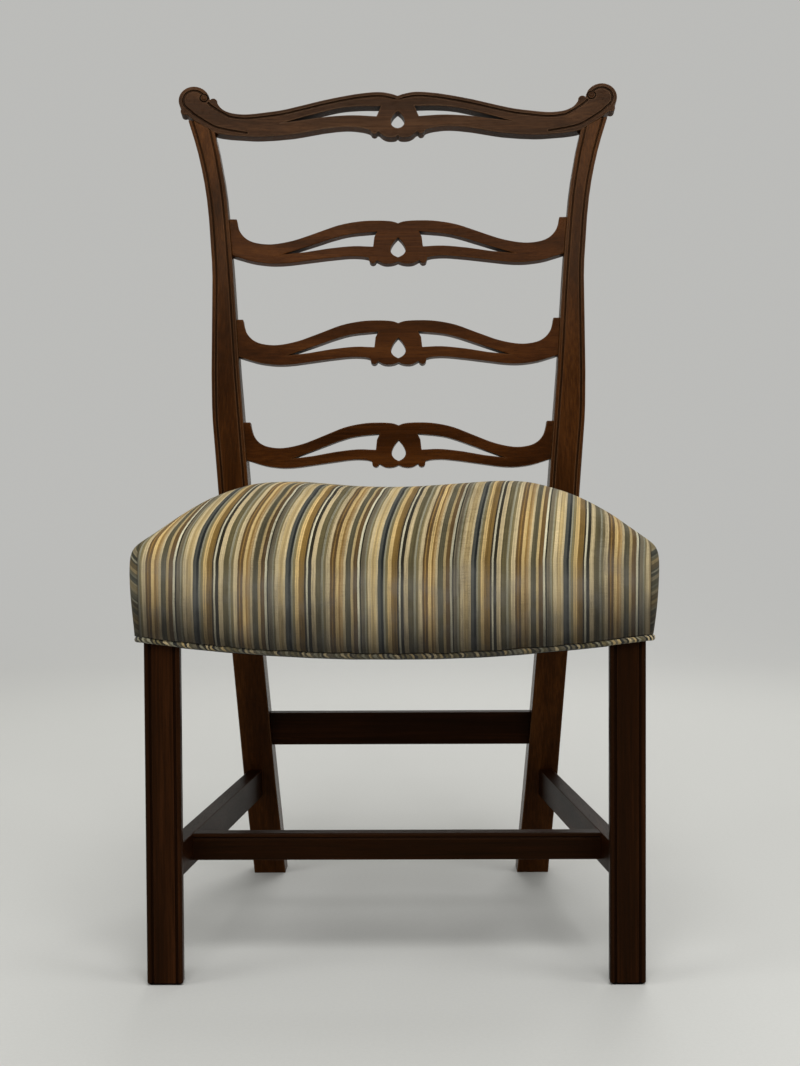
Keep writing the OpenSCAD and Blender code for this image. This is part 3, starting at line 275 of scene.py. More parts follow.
class Tone(Enum):
    """Deep, middle, light and edge colours of the polished mahogany. The edge colour is partly
    rubbed wear and partly painted highlight, and the legs' and stretchers' darker tones are painted
    shade.
    """

    CREST = (tint(29, 14, 4), tint(50, 27, 11), tint(82, 52, 29), tint(120, 92, 70))
    SLAT = (tint(36, 16, 3), tint(62, 31, 8), tint(88, 49, 17), tint(102, 66, 36))
    POST = (tint(33, 15, 4), tint(57, 30, 9), tint(86, 49, 19), tint(106, 74, 48))
    # Painted shade: the legs and stretchers get darker tones than the back, as the light reaches
    # the lower parts less.
    LEG_SHADED = (tint(19, 8, 2), tint(34, 15, 4), tint(56, 29, 11), tint(60, 33, 15))
    STRETCHER_SHADED = (tint(18, 8, 2), tint(34, 15, 4), tint(58, 30, 11), tint(60, 33, 15))


# Near-black brown, painted as shade in the mahogany's grooves, piercings and inner corners.
HOLLOW_SHADE = tint(18, 8, 3)
PORE = tint(20, 9, 4)
LAMP_WARMTH = tint(255, 226, 196)


def along_grain(graph: Graph, grain: Grain) -> Wire:
    """Place on a piece, with the grain's run first."""
    parts = graph.parts(graph.place())
    return graph.vector(*[parts[k] for k in grain.value])


@dataclass(frozen=True)
class Mahogany:
    """Mahogany with fine straight grain, stained dark and rubbed to a satin gloss."""

    grain: Grain
    tone: Tone
    roughness: float = 0.30
    edge: float = 1.4 * MM
    gloss: float = 0.05
    hollow_reach: float = 8 * MM
    pore_depth: float = 0.12 * MM

    @cache
    def make(self) -> Material:
        """Makes the material, with grain and pores, edges lightened as wear and painted highlight,
        and painted shade in its hollows.
        """
        graph = Graph.of_material(f"mahogany_{self.tone.name.lower()}_{self.grain.name.lower()}")
        straight = along_grain(graph, self.grain)
        sway = graph.noise(straight, (3.1, 10.0, 10.0), 1.0) - 0.5
        run, wide, deep = graph.parts(straight)
        place = graph.vector(run, wide + sway * 0.014, deep + sway * 0.010)
        figure = graph.noise(place, (2.6, 42.0, 42.0), 3.0)
        streak = graph.noise(place, (9.0, 520.0, 520.0), 2.0)
        pores = graph.noise(place, (70.0, 2300.0, 2300.0), 1.0).ramp(0.60, 0.68)
        blotch = graph.noise(straight, (7.0, 12.0, 12.0), 2.0)
        # The fourth colour, worn, is the edges' colour: partly rubbed wear, partly painted
        # highlight.
        low, middle, high, worn = self.tone.value
        body = graph.colours(
            figure * 0.62 + streak * 0.38, [(0.30, low), (0.50, middle), (0.72, high)]
        )
        aged = graph.mix(blotch.ramp(0.35, 0.75, 0.0, 0.35), body, low)
        eased = graph.node("Bevel", {"samples": 4}, {"Radius": self.edge})
        flat = graph.node("NewGeometry", {}, {}, "Normal")
        turned = 1.0 - graph.node(
            "VectorMath", {"operation": "DOT_PRODUCT"}, {0: eased, 1: flat}, "Value"
        )
        # Painted shade: ambient occlusion darkens the grooves, piercings and inner corners towards
        # a near-black brown.
        hollow = graph.node(
            "AmbientOcclusion",
            {"samples": 6, "only_local": True},
            {"Distance": self.hollow_reach},
            "AO",
        ).ramp(0.42, 0.975, 0.95, 0.0)
        # Painted highlight and wear: the edges lighten towards the edge colour, partly as rubbed
        # wear and partly in place of the highlights on the beads.
        edge_wear_and_highlight = turned.ramp(0.004, 0.07) * blotch.ramp(0.25, 0.65, 0.4, 0.95) * (1.0 - hollow)
        # Painted highlight and wear on the edges first, then painted shade in the hollows.
        hollow_shaded = graph.mix(hollow, graph.mix(edge_wear_and_highlight, aged, worn), HOLLOW_SHADE)
        colour = graph.mix(pores * 0.55, hollow_shaded, PORE)
        dulled = self.roughness + (blotch - 0.5) * 0.16 + hollow * 0.25 + pores * 0.12
        relief = streak * 0.5 - pores
        return graph.finish(
            Base_Color=colour,
            Roughness=dulled,
            Normal=graph.bump(relief, 0.35, self.pore_depth, eased),
            Specular_IOR_Level=self.gloss,
            Specular_Tint=LAMP_WARMTH,
        )


@dataclass(frozen=True)
class Beech:
    """Sawn and planed beech, as the hidden rails and blocks are."""

    grain: Grain
    dark: Colour = tint(150, 112, 74)
    middle: Colour = tint(182, 144, 100)
    pale: Colour = tint(203, 170, 126)
    fleck: Colour = tint(128, 88, 54)
    dust: Colour = tint(120, 106, 90)

    @cache
    def make(self) -> Material:
        """Makes the material, with flecks across the grain and a little dust."""
        graph = Graph.of_material(f"beech_{self.grain.name.lower()}")
        place = along_grain(graph, self.grain)
        growth = graph.noise(place, (4.0, 60.0, 60.0), 3.0)
        fleck = graph.noise(place, (120.0, 900.0, 260.0), 1.0).ramp(0.60, 0.70)
        dust = graph.noise(place, 9.0, 3.0)
        body = graph.colours(growth, [(0.3, self.dark), (0.5, self.middle), (0.75, self.pale)])
        flecked = graph.mix(fleck * 0.5, body, self.fleck)
        colour = graph.mix(dust.ramp(0.5, 0.8, 0.0, 0.3), flecked, self.dust)
        return graph.finish(
            Base_Color=colour,
            Roughness=0.62 + dust * 0.2,
            Normal=graph.bump(growth + fleck * 0.4, 0.4, 0.2 * MM),
        )


class Yarn(Enum):
    """Yarns of the striped cover."""

    INK = tint(30, 33, 32)
    STEEL = tint(74, 75, 68)
    GREY = tint(144, 139, 116)
    KHAKI = tint(124, 112, 76)
    GOLD = tint(204, 174, 116)
    BRONZE = tint(124, 97, 48)
    UMBER = tint(56, 46, 28)
    IVORY = tint(204, 197, 168)
    BLACK = tint(40, 36, 22)
    CREAM = tint(196, 177, 136)
    MOSS = tint(94, 85, 56)
    BROWN = tint(99, 76, 42)
    OCHRE = tint(148, 116, 62)
    TAN = tint(172, 143, 94)
    CHARCOAL = tint(86, 80, 58)
    WHEAT = tint(182, 159, 111)
    STONE = tint(110, 101, 80)


# One repeat of the cover's stripes from left to right: yarn and width in millimetres
STRIPES: list[tuple[Yarn, float]] = [
    (Yarn.STEEL, 3.1), (Yarn.INK, 2.4), (Yarn.GREY, 1.8), (Yarn.KHAKI, 2.3),
    (Yarn.GOLD, 3.6), (Yarn.BRONZE, 5.4), (Yarn.UMBER, 1.6), (Yarn.IVORY, 1.9),
    (Yarn.BLACK, 2.9), (Yarn.CREAM, 4.5), (Yarn.MOSS, 5.1), (Yarn.GREY, 2.3),
    (Yarn.KHAKI, 2.2), (Yarn.CREAM, 4.1), (Yarn.BROWN, 2.0), (Yarn.OCHRE, 1.1),
    (Yarn.BROWN, 2.4), (Yarn.GOLD, 3.2), (Yarn.OCHRE, 1.7), (Yarn.TAN, 2.4),
    (Yarn.CREAM, 2.1), (Yarn.CHARCOAL, 5.6), (Yarn.WHEAT, 2.4), (Yarn.BROWN, 4.2),
    (Yarn.IVORY, 1.9), (Yarn.BLACK, 1.7), (Yarn.STONE, 3.2), (Yarn.GREY, 1.6),
    (Yarn.KHAKI, 1.4), (Yarn.CREAM, 3.0), (Yarn.WHEAT, 4.8), (Yarn.CREAM, 2.2),
]


# Painted sheen: the grey that the front face's stripes lighten towards.
FRONT_SHEEN_GREY = tint(116, 114, 110)
CORNER_SHADE = tint(62, 62, 50)
# Painted shade in the corner seam's crease.
CREASE_SHADE = tint(38, 34, 28)
# Dirt on the welt's fuzz, and painted shade at the middle of its front.
DIRT_AND_SHADE = tint(40, 37, 32)


@dataclass(frozen=True)
class ClothPlace:
    """Where a point of the cover lies on the flat cloth and on the seat.

    Attributes:
        flat: Place on the flat cloth, as a vector.
        across: Place across the stripes.
        behind: Distance behind the seat's front.
        height: Height over the lower edge.
        seam: Distance past the corner seam.
        on_side: One on the cloth that hangs down the sides, and nought elsewhere.
    """

    flat: Wire
    across: Wire
    behind: Wire
    height: Wire
    seam: Wire
    on_side: Wire


@dataclass(frozen=True)
class StripedCloth:
    """Velvety striped cloth, with its stripes woven along the seat's depth."""

    front: float
    repeat: float = 91 * MM
    first_stripe: float = -15.6 * MM
    wander: float = 1.6 * MM
    stray: float = 1.2 * MM
    overlap: float = 0.1 * MM
    wale: float = 1.9 * MM
    seam_width: float = 2.2 * MM
    pile_depth: float = 0.5 * MM

    def make(self) -> Material:
        """Makes the material, which reads the piece's own places on the cloth."""
        graph = Graph.of_material("striped_chenille")
        place = self.find_place(graph)
        pile = graph.noise(place.flat, (700.0, 40.0, 1.0), 3.0)
        flecks = graph.noise(place.flat, (1500.0, 1100.0, 1.0), 2.0)
        brushed = graph.noise(place.flat, (22.0, 9.0, 1.0), 3.0)
        weft = graph.noise(place.flat, (90.0, 1400.0, 1.0), 2.0)
        shade = (pile - 0.5) * 0.8 + (flecks - 0.5) * 0.5 + (brushed - 0.5) + (weft - 0.5) * 0.4
        woven = self.weave(graph, place, self.dye(graph, place), shade)
        # Painted sheen and shade: the front greys, and it darkens at the corners and towards its
        # lower edge.
        sheened_and_shaded = self.paint_sheen_and_shade(graph, place, woven, brushed)
        # Painted shade: along the corner seam near the front the cloth darkens towards a dark
        # brown; the same mask also sinks the seam in the bump.
        seam_end = place.height.ramp(0.100, 0.112, 1.0, 0.0)
        at_corner = place.behind.ramp(14 * MM, 30 * MM, 1.0, 0.0)
        creased = abs(place.seam).ramp(0.0, self.seam_width, 0.55, 0.0) * seam_end * at_corner
        wales = (place.across / self.wale * FULL_TURN).sine() * 0.5 + 0.5
        height = wales * 0.45 + flecks * 0.6 + pile * 0.35 - creased * 3.0
        return graph.finish(
            Base_Color=graph.mix(creased, sheened_and_shaded, CREASE_SHADE),
            Roughness=0.86 + (flecks - 0.5) * 0.2,
            Normal=graph.bump(height, 0.55, self.pile_depth),
            Specular_IOR_Level=0.2,
            Sheen_Weight=0.13,
            Sheen_Roughness=0.4,
            Sheen_Tint=tint(222, 210, 184),
        )

    def find_place(self, graph: Graph) -> ClothPlace:
        """Reads the two marks that the cover's points carry."""
        top = graph.node("Attribute", {"attribute_name": "cloth_top"}, {}, "Vector")
        side = graph.node("Attribute", {"attribute_name": "cloth_side"}, {}, "Vector")
        across_top, along_top, seam = graph.parts(top)
        across_side, along_side, height = graph.parts(side)
        on_side = seam.over(0.0)
        across = across_top + (across_side - across_top) * on_side
        along = along_top + (along_side - along_top) * on_side
        flat = graph.vector(across, along, 0.0)
        return ClothPlace(flat, across, along_side - self.front, height, seam, on_side)

    def dye(self, graph: Graph, place: ClothPlace) -> Wire:
        """Colours the stripes, with fibres that stray over their edges.

        Args:
            graph: The material's nodes.
            place: Where the point lies.

        Returns:
            The plain stripes.
        """
        fuzz = graph.noise(place.flat, (1500.0, 800.0, 1.0), 3.0) - 0.5
        wander = graph.noise(place.flat, (60.0, 9.0, 1.0), 1.0) - 0.5
        drawn = place.across + wander * self.wander - self.first_stripe
        whole = sum(width for _, width in STRIPES)
        stops: Stops = []
        edge = 0.0
        for yarn, width in STRIPES:
            stops.append((edge / whole, yarn.value))
            edge += width
        left = ((drawn + fuzz * self.stray - self.overlap) / self.repeat).fract()
        right = ((drawn - fuzz * self.stray + self.overlap) / self.repeat).fract()
        return graph.mix(
            0.5, graph.colours(left, stops, "CONSTANT"), graph.colours(right, stops, "CONSTANT")
        )

    def weave(self, graph: Graph, place: ClothPlace, stripes: Wire, shade: Wire) -> Wire:
        """Lightens and darkens the stripes as raised pile, sunk pile and single threads.

        Args:
            graph: The material's nodes.
            place: Where the point lies.
            stripes: The plain stripes.
            shade: How far the pile is raised, nought on the whole.

        Returns:
            The woven stripes.
        """
        raised = graph.multiplied(stripes, (1.34, 1.32, 1.28))
        light = graph.mix(shade.ramp(0.02, 0.34), stripes, raised)
        sunk = graph.multiplied(light, (0.50, 0.48, 0.45))
        dark = graph.mix(shade.ramp(-0.34, 0.02, 0.9, 0.0), light, sunk)
        strands = graph.noise(place.flat, (520.0, 7.0, 1.0), 2.0)
        threads = graph.noise(place.flat, (1250.0, 4.0, 1.0), 1.0)
        lines = strands.ramp(0.46, 0.62, 0.0, 0.6) + threads.ramp(0.52, 0.64, 0.0, 0.4)
        return graph.mix(lines, dark, graph.multiplied(dark, (0.60, 0.60, 0.60)))

    def paint_sheen_and_shade(self, graph: Graph, place: ClothPlace, woven: Wire, brushed: Wire) -> Wire:
        """Paints sheen and shade: greys the front face towards its lower edge as painted sheen, and
        darkens the lowest part and the side cloth round the corners as painted shade.

        Args:
            graph: The material's nodes.
            place: Where the point lies.
            woven: The cloth before its painted sheen and shade.
            brushed: Broad noise that breaks up the edges of the painted sheen and shade.

        Returns:
            The cloth with its painted sheen and shade.
        """
        # Painted sheen: the front face greys below the fold and in patches, standing in for grazing
        # light on the pile.
        fallen = place.height + (brushed - 0.5) * 0.035
        patches = graph.noise(place.flat, (38.0, 34.0, 1.0), 3.0).ramp(0.45, 0.65, 0.0, 0.17)
        front_sheen = fallen.ramp(0.064, 0.094, 0.20, 0.0) + patches * fallen.ramp(0.080, 0.112, 1.0, 0.0)
        sheened = graph.mix(front_sheen, woven, FRONT_SHEEN_GREY)
        # Painted shade on the side cloth just past the front corners, which turns away from the
        # light.
        corner = place.behind.ramp(16 * MM, 42 * MM, 0.62, 0.0) * place.on_side
        turned = graph.mix(corner, sheened, CORNER_SHADE)
        # Painted shade: the lowest part of the cover darkens strongly where it turns under, away
        # from the light.
        hem_shaded = graph.multiplied(turned, (0.13, 0.13, 0.14))
        return graph.mix(fallen.ramp(0.0, 0.066, 0.92, 0.0), turned, hem_shaded)


@dataclass(frozen=True)
class WeltCord:
    """A cord covered with the same cloth cut across its stripes."""

    front: float
    pale: tuple[Yarn, ...] = (Yarn.GREY, Yarn.STONE, Yarn.CREAM, Yarn.KHAKI, Yarn.WHEAT)
    dark: tuple[Yarn, ...] = (Yarn.BLACK, Yarn.MOSS, Yarn.CHARCOAL, Yarn.INK, Yarn.STONE)
    knot: float = 2.7 * MM
    twist: float = 1.7 * MM
    slope: float = 0.55
    ridge_depth: float = 0.5 * MM

    def make(self) -> Material:
        """Makes the material, with pale and dark knots by turns along the cord."""
        graph = Graph.of_material("striped_welt")
        x, y, z = graph.parts(graph.place())
        slant = x + x.sign() * (y - self.front) + z * self.slope
        wander = graph.noise(graph.place(), 90.0, 2.0) - 0.5
        cell = ((slant + wander * 0.008) / self.knot).floor()
        pick = graph.node("TexWhiteNoise", {"noise_dimensions": "1D"}, {"W": cell}, "Value")
        picks = []
        for yarns in (self.pale, self.dark):
            stops = [(k / len(yarns), yarn.value) for k, yarn in enumerate(yarns)]
            picks.append(graph.colours(pick, stops, "CONSTANT"))
        stripes = graph.mix((cell * 0.5).fract().over(0.25), *picks)
        fuzz = graph.noise(graph.place(), 1400.0, 2.0)
        worn = graph.mix(fuzz.ramp(0.3, 0.62, 0.65, 0.0), stripes, DIRT_AND_SHADE)
        # Painted shade: the cord darkens towards the middle of the front, where less light falls.
        shaded = abs(x).ramp(0.11, 0.25, 0.58, 0.0) * (y - self.front).ramp(0.02, 0.06, 1.0, 0.0)
        ridge = (slant / self.twist * FULL_TURN).sine() * 0.5 + 0.5
        return graph.finish(
            Base_Color=graph.mix(shaded, worn, DIRT_AND_SHADE),
            Roughness=0.9,
            Normal=graph.bump(ridge * 0.6 + fuzz * 0.8, 0.7, self.ridge_depth),
            Specular_IOR_Level=0.2,
            Sheen_Weight=0.2,
            Sheen_Roughness=0.5,
        )


@dataclass(frozen=True)
class Cloth:
    """A plain woven cloth."""

    name: str
    warp: Colour
    weft: Colour
    gap: Colour
    yarn: float
    openness: float = 0.35

    def make(self) -> Material:
        """Makes the material, with yarns over and under each other."""
        graph = Graph.of_material(self.name)
        place = graph.place()
        x, y, _ = graph.parts(place)
        sway = (graph.noise(place, 60.0, 2.0) - 0.5) * (0.7 * self.yarn)
        turn = FULL_TURN / (2 * self.yarn)
        over = ((x + sway) * turn).sine()
        under = ((y - sway) * turn).sine()
        lift = over * under
        slub = graph.noise(place, 500.0, 3.0)
        yarns = graph.mix(lift.ramp(-0.25, 0.25), self.warp, self.weft)
        holes = (abs(over) + abs(under)).ramp(0.25 + self.openness, 0.05, 0.0, 0.85)
        aged = graph.mix(slub.ramp(0.35, 0.7, 0.4, 0.0), yarns, self.gap)
        return graph.finish(
            Base_Color=graph.mix(holes, aged, self.gap),
            Roughness=0.92,
            Normal=graph.bump(lift * 0.5 + slub * 0.6 - holes, 0.6, 0.5 * self.yarn),
            Specular_IOR_Level=0.15,
        )


@dataclass(frozen=True)
class Stuffing:
    """Foam or wadding."""

    name: str
    pale: Colour
    dark: Colour
    cell: float
    depth: float

    def make(self) -> Material:
        """Makes the material, with open cells or matted fibres."""
        graph = Graph.of_material(self.name)
        place = graph.place()
        cells = graph.noise(place, 1 / self.cell, 3.0)
        matted = graph.noise(place, 30.0, 3.0)
        body = graph.mix(cells.ramp(0.35, 0.6), self.dark, self.pale)
        colour = graph.mix(matted.ramp(0.45, 0.8, 0.0, 0.4), body, self.dark)
        return graph.finish(
            Base_Color=colour,
            Roughness=0.95,
            Normal=graph.bump(cells + matted * 0.5, 0.7, self.depth),
            Specular_IOR_Level=0.1,
        )


@dataclass(frozen=True)
class Steel:
    """Plated screws and blued tacks, dulled by age."""

    dark: Colour = tint(92, 92, 96)
    bright: Colour = tint(150, 148, 144)
    rust: Colour = tint(98, 58, 34)

    def make(self) -> Material:
        """Makes the material, with brushed wear and specks of rust."""
        graph = Graph.of_material("dull_steel")
        place = graph.place()
        specks = graph.noise(place, 900.0, 3.0)
        wear = graph.noise(place, 200.0, 2.0)
        rust = specks.ramp(0.60, 0.70)
        bare = graph.mix(wear, self.dark, self.bright)
        return graph.finish(
            Base_Color=graph.mix(rust, bare, self.rust),
            Metallic=1.0 - rust * 0.8,
            Roughness=0.34 + wear * 0.2 + rust * 0.3,
            Normal=graph.bump(specks, 0.3, 0.1 * MM),
        )


JUTE = Cloth("jute_webbing", tint(166, 132, 84), tint(146, 112, 70), tint(60, 42, 24), 2.2 * MM)
HESSIAN = Cloth("hessian", tint(170, 142, 98), tint(152, 124, 82), tint(70, 52, 30), 1.3 * MM)
CAMBRIC = Cloth(
    "black_cambric", tint(34, 33, 34), tint(26, 25, 26), tint(8, 8, 8), 0.7 * MM, openness=0.1
)
FOAM = Stuffing("foam", tint(222, 206, 158), tint(176, 156, 104), 1.1 * MM, 0.5 * MM)
COTTON = Stuffing("cotton", tint(226, 222, 210), tint(178, 172, 156), 2.4 * MM, 0.8 * MM)


# Mesh helpers


def select_only(piece: Piece) -> None:
    """Leaves one piece selected and active."""
    bpy.ops.object.select_all(action="DESELECT")
    piece.select_set(True)
    bpy.context.view_layer.objects.active = piece


def in_edit_mode(piece: Piece, work: Callable[[], object]) -> None:
    """Runs work in the piece's edit mode, and comes back out."""
    select_only(piece)
    bpy.ops.object.mode_set(mode="EDIT")
    work()
    bpy.ops.object.mode_set(mode="OBJECT")


def select_faces(piece: Piece, wanted: Callable[[bpy.types.MeshPolygon], bool]) -> None:
    """Selects the faces that wanted says yes to, and nothing else."""
    for parts in (piece.data.vertices, piece.data.edges):
        parts.foreach_set("select", [False] * len(parts))
    for polygon in piece.data.polygons:
        polygon.select = wanted(polygon)


def copied(node: str, name: str) -> Piece:
    """Copies a solid of the frame as a new piece, with its loose triangles joined."""
    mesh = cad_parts[node].data.copy()
    mesh.materials.clear()
    piece = bpy.data.objects.new(name, mesh)
    bpy.context.scene.collection.objects.link(piece)
    select_only(piece)
    if mesh.has_custom_normals:
        bpy.ops.mesh.customdata_custom_splitnormals_clear()

    def join() -> None:
        """Merges what lies in one place."""
        bpy.ops.mesh.select_mode(type="FACE")
        bpy.ops.mesh.select_all(action="SELECT")
        bpy.ops.mesh.remove_doubles(threshold=WELD)

    in_edit_mode(piece, join)
    return piece


def apply_all(piece: Piece) -> None:
    """Applies the piece's modifiers in their order."""
    select_only(piece)
    for modifier in list(piece.modifiers):
        bpy.ops.object.modifier_apply(modifier=modifier.name)


def subdivided(piece: Piece, levels: int) -> None:
    """Rounds the piece by subdividing it as many times as levels says."""
    modifier = piece.modifiers.new("Subdivision", "SUBSURF")
    modifier.levels = modifier.render_levels = levels
    modifier.boundary_smooth = "PRESERVE_CORNERS"
    apply_all(piece)


def smoothed(piece: Piece, degrees: float) -> None:
    """Shades the piece smooth but for edges sharper than so many degrees."""
    select_only(piece)
    bpy.ops.object.shade_smooth_by_angle(angle=math.radians(degrees))


def eased(piece: Piece, width: float, rings: int, degrees: float, clamp: bool = True) -> None:
    """Rounds the piece's edges.

    Args:
        piece: The piece.
        width: How far in from the edge the rounding starts.
        rings: How many faces it is made of.
        degrees: How sharp an edge has to be.
        clamp: Whether it stays narrow where edges lie close together.
    """
    edges = piece.modifiers.new("Eased", "BEVEL")
    edges.width, edges.segments, edges.limit_method = width, rings, "ANGLE"
    edges.angle_limit = math.radians(degrees)
    edges.use_clamp_overlap = clamp
    apply_all(piece)


def dressed(piece: Piece, node: str, finish: Material) -> Piece:
    """Gives a new piece its finish, hangs it under the root body and hides the node that it stands
    for.
    """
    piece.data.materials.clear()
    piece.data.materials.append(finish)
    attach(piece, "root")
    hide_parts(node)
    log.info("%s: %d faces, stands for %s", piece.name, len(piece.data.polygons), node)
    return piece


# Sub-assemblies


@dataclass
class Woodwork:
    """Wooden pieces that keep the frame's own shapes, with their facets smoothed."""

    slot: str
    finishes: dict[str, Mahogany | Beech]
    crease: float = 32.0
    ease: float = 0.8 * MM
    rings: int = 3
    carve: Callable[[Piece], None] | None = None

    def build(self) -> list[Piece]:
        """Makes every piece."""
        return [self.build_piece(node, finish) for node, finish in self.finishes.items()]

    def build_piece(self, node: str, finish: Mahogany | Beech) -> Piece:
        """Makes the piece that stands for one node, in its finish."""
        piece = copied(node, f"{node}_finished")
        in_edit_mode(piece, self.join_flats)
        if self.carve is not None:
            self.carve(piece)
        eased(piece, self.ease, self.rings, self.crease, clamp=False)
        smoothed(piece, self.crease)
        weighted = piece.modifiers.new("Normals", "WEIGHTED_NORMAL")
        weighted.keep_sharp = True
        apply_all(piece)
        return dressed(piece, node, finish.make())

    def join_flats(self) -> None:
        """Joins the triangles of each flat face."""
        bpy.ops.mesh.select_all(action="SELECT")
        bpy.ops.mesh.dissolve_limited(angle_limit=FLAT_WITHIN)


@dataclass
class Back:
    """The crest with its scrolled ears, the three slats and the posts."""

    eye_out: float = 250.6 * MM
    eye_height: float = 1001.1 * MM
    eye_reach: float = 3 * MM
    eye_area: float = 50 * MM * MM
    eye_rings: tuple[tuple[float, float], ...] = (
        (0.9 * MM, 0.0),
        (1.0 * MM, 0.55 * MM),
        (1.2 * MM, 0.35 * MM),
    )
    slats: tuple[str, ...] = ("top_slat", "middle_slat", "bottom_slat")
    posts: tuple[str, ...] = ("back_post_left", "back_post_right")

    def build(self) -> list[Piece]:
        """Makes the back."""
        crest = Mahogany(Grain.ALONG_X, Tone.CREST, 0.26, 2.2 * MM, 0.06)
        post = Mahogany(Grain.ALONG_Z, Tone.POST, 0.27, 2.2 * MM, 0.06)
        slat = Mahogany(Grain.ALONG_X, Tone.SLAT, 0.30, 1.8 * MM, 0.05)
        pieces = Woodwork("frame_wood", {"crest_rail": crest}, carve=self.raise_eyes).build()
        pieces += Woodwork("frame_wood", {name: post for name in self.posts}).build()
        return pieces + Woodwork("slat_wood", {name: slat for name in self.slats}).build()

    def raise_eyes(self, piece: Piece) -> None:
        """Swells the flat eye of each of the crest's scrolls into a low dome."""

        def is_eye(polygon: bpy.types.MeshPolygon) -> bool:
            """Whether a face is the flat inside the scroll's last turn."""
            x, _, z = polygon.center
            near = max(abs(abs(x) - self.eye_out), abs(z - self.eye_height)) < self.eye_reach
            return near and polygon.normal.y < -0.8 and polygon.area > self.eye_area

        def swell() -> None:
            """Insets the eyes ring by ring, each standing higher."""
            bpy.ops.mesh.select_mode(type="FACE")
            for wide, rise in self.eye_rings:
                bpy.ops.mesh.inset(thickness=wide, depth=rise)

        select_faces(piece, is_eye)
        in_edit_mode(piece, swell)


@dataclass
class Base:
    """The front legs and the stretchers that tie the four feet."""

    legs: tuple[str, ...] = ("front_leg_left", "front_leg_right")
    side_stretchers: tuple[str, ...] = ("side_stretcher_left", "side_stretcher_right")
    cross_stretchers: tuple[str, ...] = ("cross_stretcher", "rear_stretcher")

    def build(self) -> list[Piece]:
        """Makes the base."""
        # The legs and stretchers take the darker tones, which are painted shade.
        finishes = {name: Mahogany(Grain.ALONG_Z, Tone.LEG_SHADED, 0.34) for name in self.legs}
        for names, grain in (
            (self.side_stretchers, Grain.ALONG_Y),
            (self.cross_stretchers, Grain.ALONG_X),
        ):
            finishes |= {name: Mahogany(grain, Tone.STRETCHER_SHADED, 0.36) for name in names}
        return Woodwork("frame_wood", finishes).build()


@dataclass
class SeatFrame:
    """The hidden rails, blocks, webbing and fixings."""

    along_x: tuple[str, ...] = ("front_seat_rail", "rear_seat_rail")
    along_y: tuple[str, ...] = ("side_seat_rail_left", "side_seat_rail_right")
    blocks: tuple[str, ...] = tuple(
        f"corner_block_{end}_{side}" for end in ("front", "rear") for side in ("left", "right")
    )
    metal: tuple[str, ...] = ("corner_block_screws", "webbing_tacks")
    webbing: tuple[str, ...] = ("webbing_front_to_back", "webbing_side_to_side")
    strip_ease: float = 0.4 * MM

    def build(self) -> list[Piece]:
        """Makes the hidden frame."""
        lie = {name: Grain.ALONG_X for name in self.along_x + self.blocks}
        lie |= {name: Grain.ALONG_Y for name in self.along_y}
        pieces = Woodwork("rail_wood", {name: Beech(grain) for name, grain in lie.items()}).build()
        steel = Steel().make()
        for name in self.metal:
            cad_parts[name].data.materials.clear()
            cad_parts[name].data.materials.append(steel)
        woven = JUTE.make()
        return pieces + [self.build_webbing(name, woven) for name in self.webbing]

    def build_webbing(self, node: str, finish: Material) -> Piece:
        """Makes one node's set of webbing strips, with soft edges."""
        piece = copied(node, f"{node}_woven")
        eased(piece, self.strip_ease, 2, 50)
        smoothed(piece, 40)
        return dressed(piece, node, finish)


@dataclass(frozen=True)
class DepthTable:
    """Values at even steps from the front of the seat to its back."""

    front: float
    back: float
    values: list[float]

    def at(self, y: float) -> float:
        """The value at a depth, on the straight line between its neighbours."""
        steps = len(self.values) - 1
        place = min(max((y - self.front) / (self.back - self.front), 0.0), 1.0) * steps
        k = min(int(place), steps - 1)
        return self.values[k] + (self.values[k + 1] - self.values[k]) * (place - k)


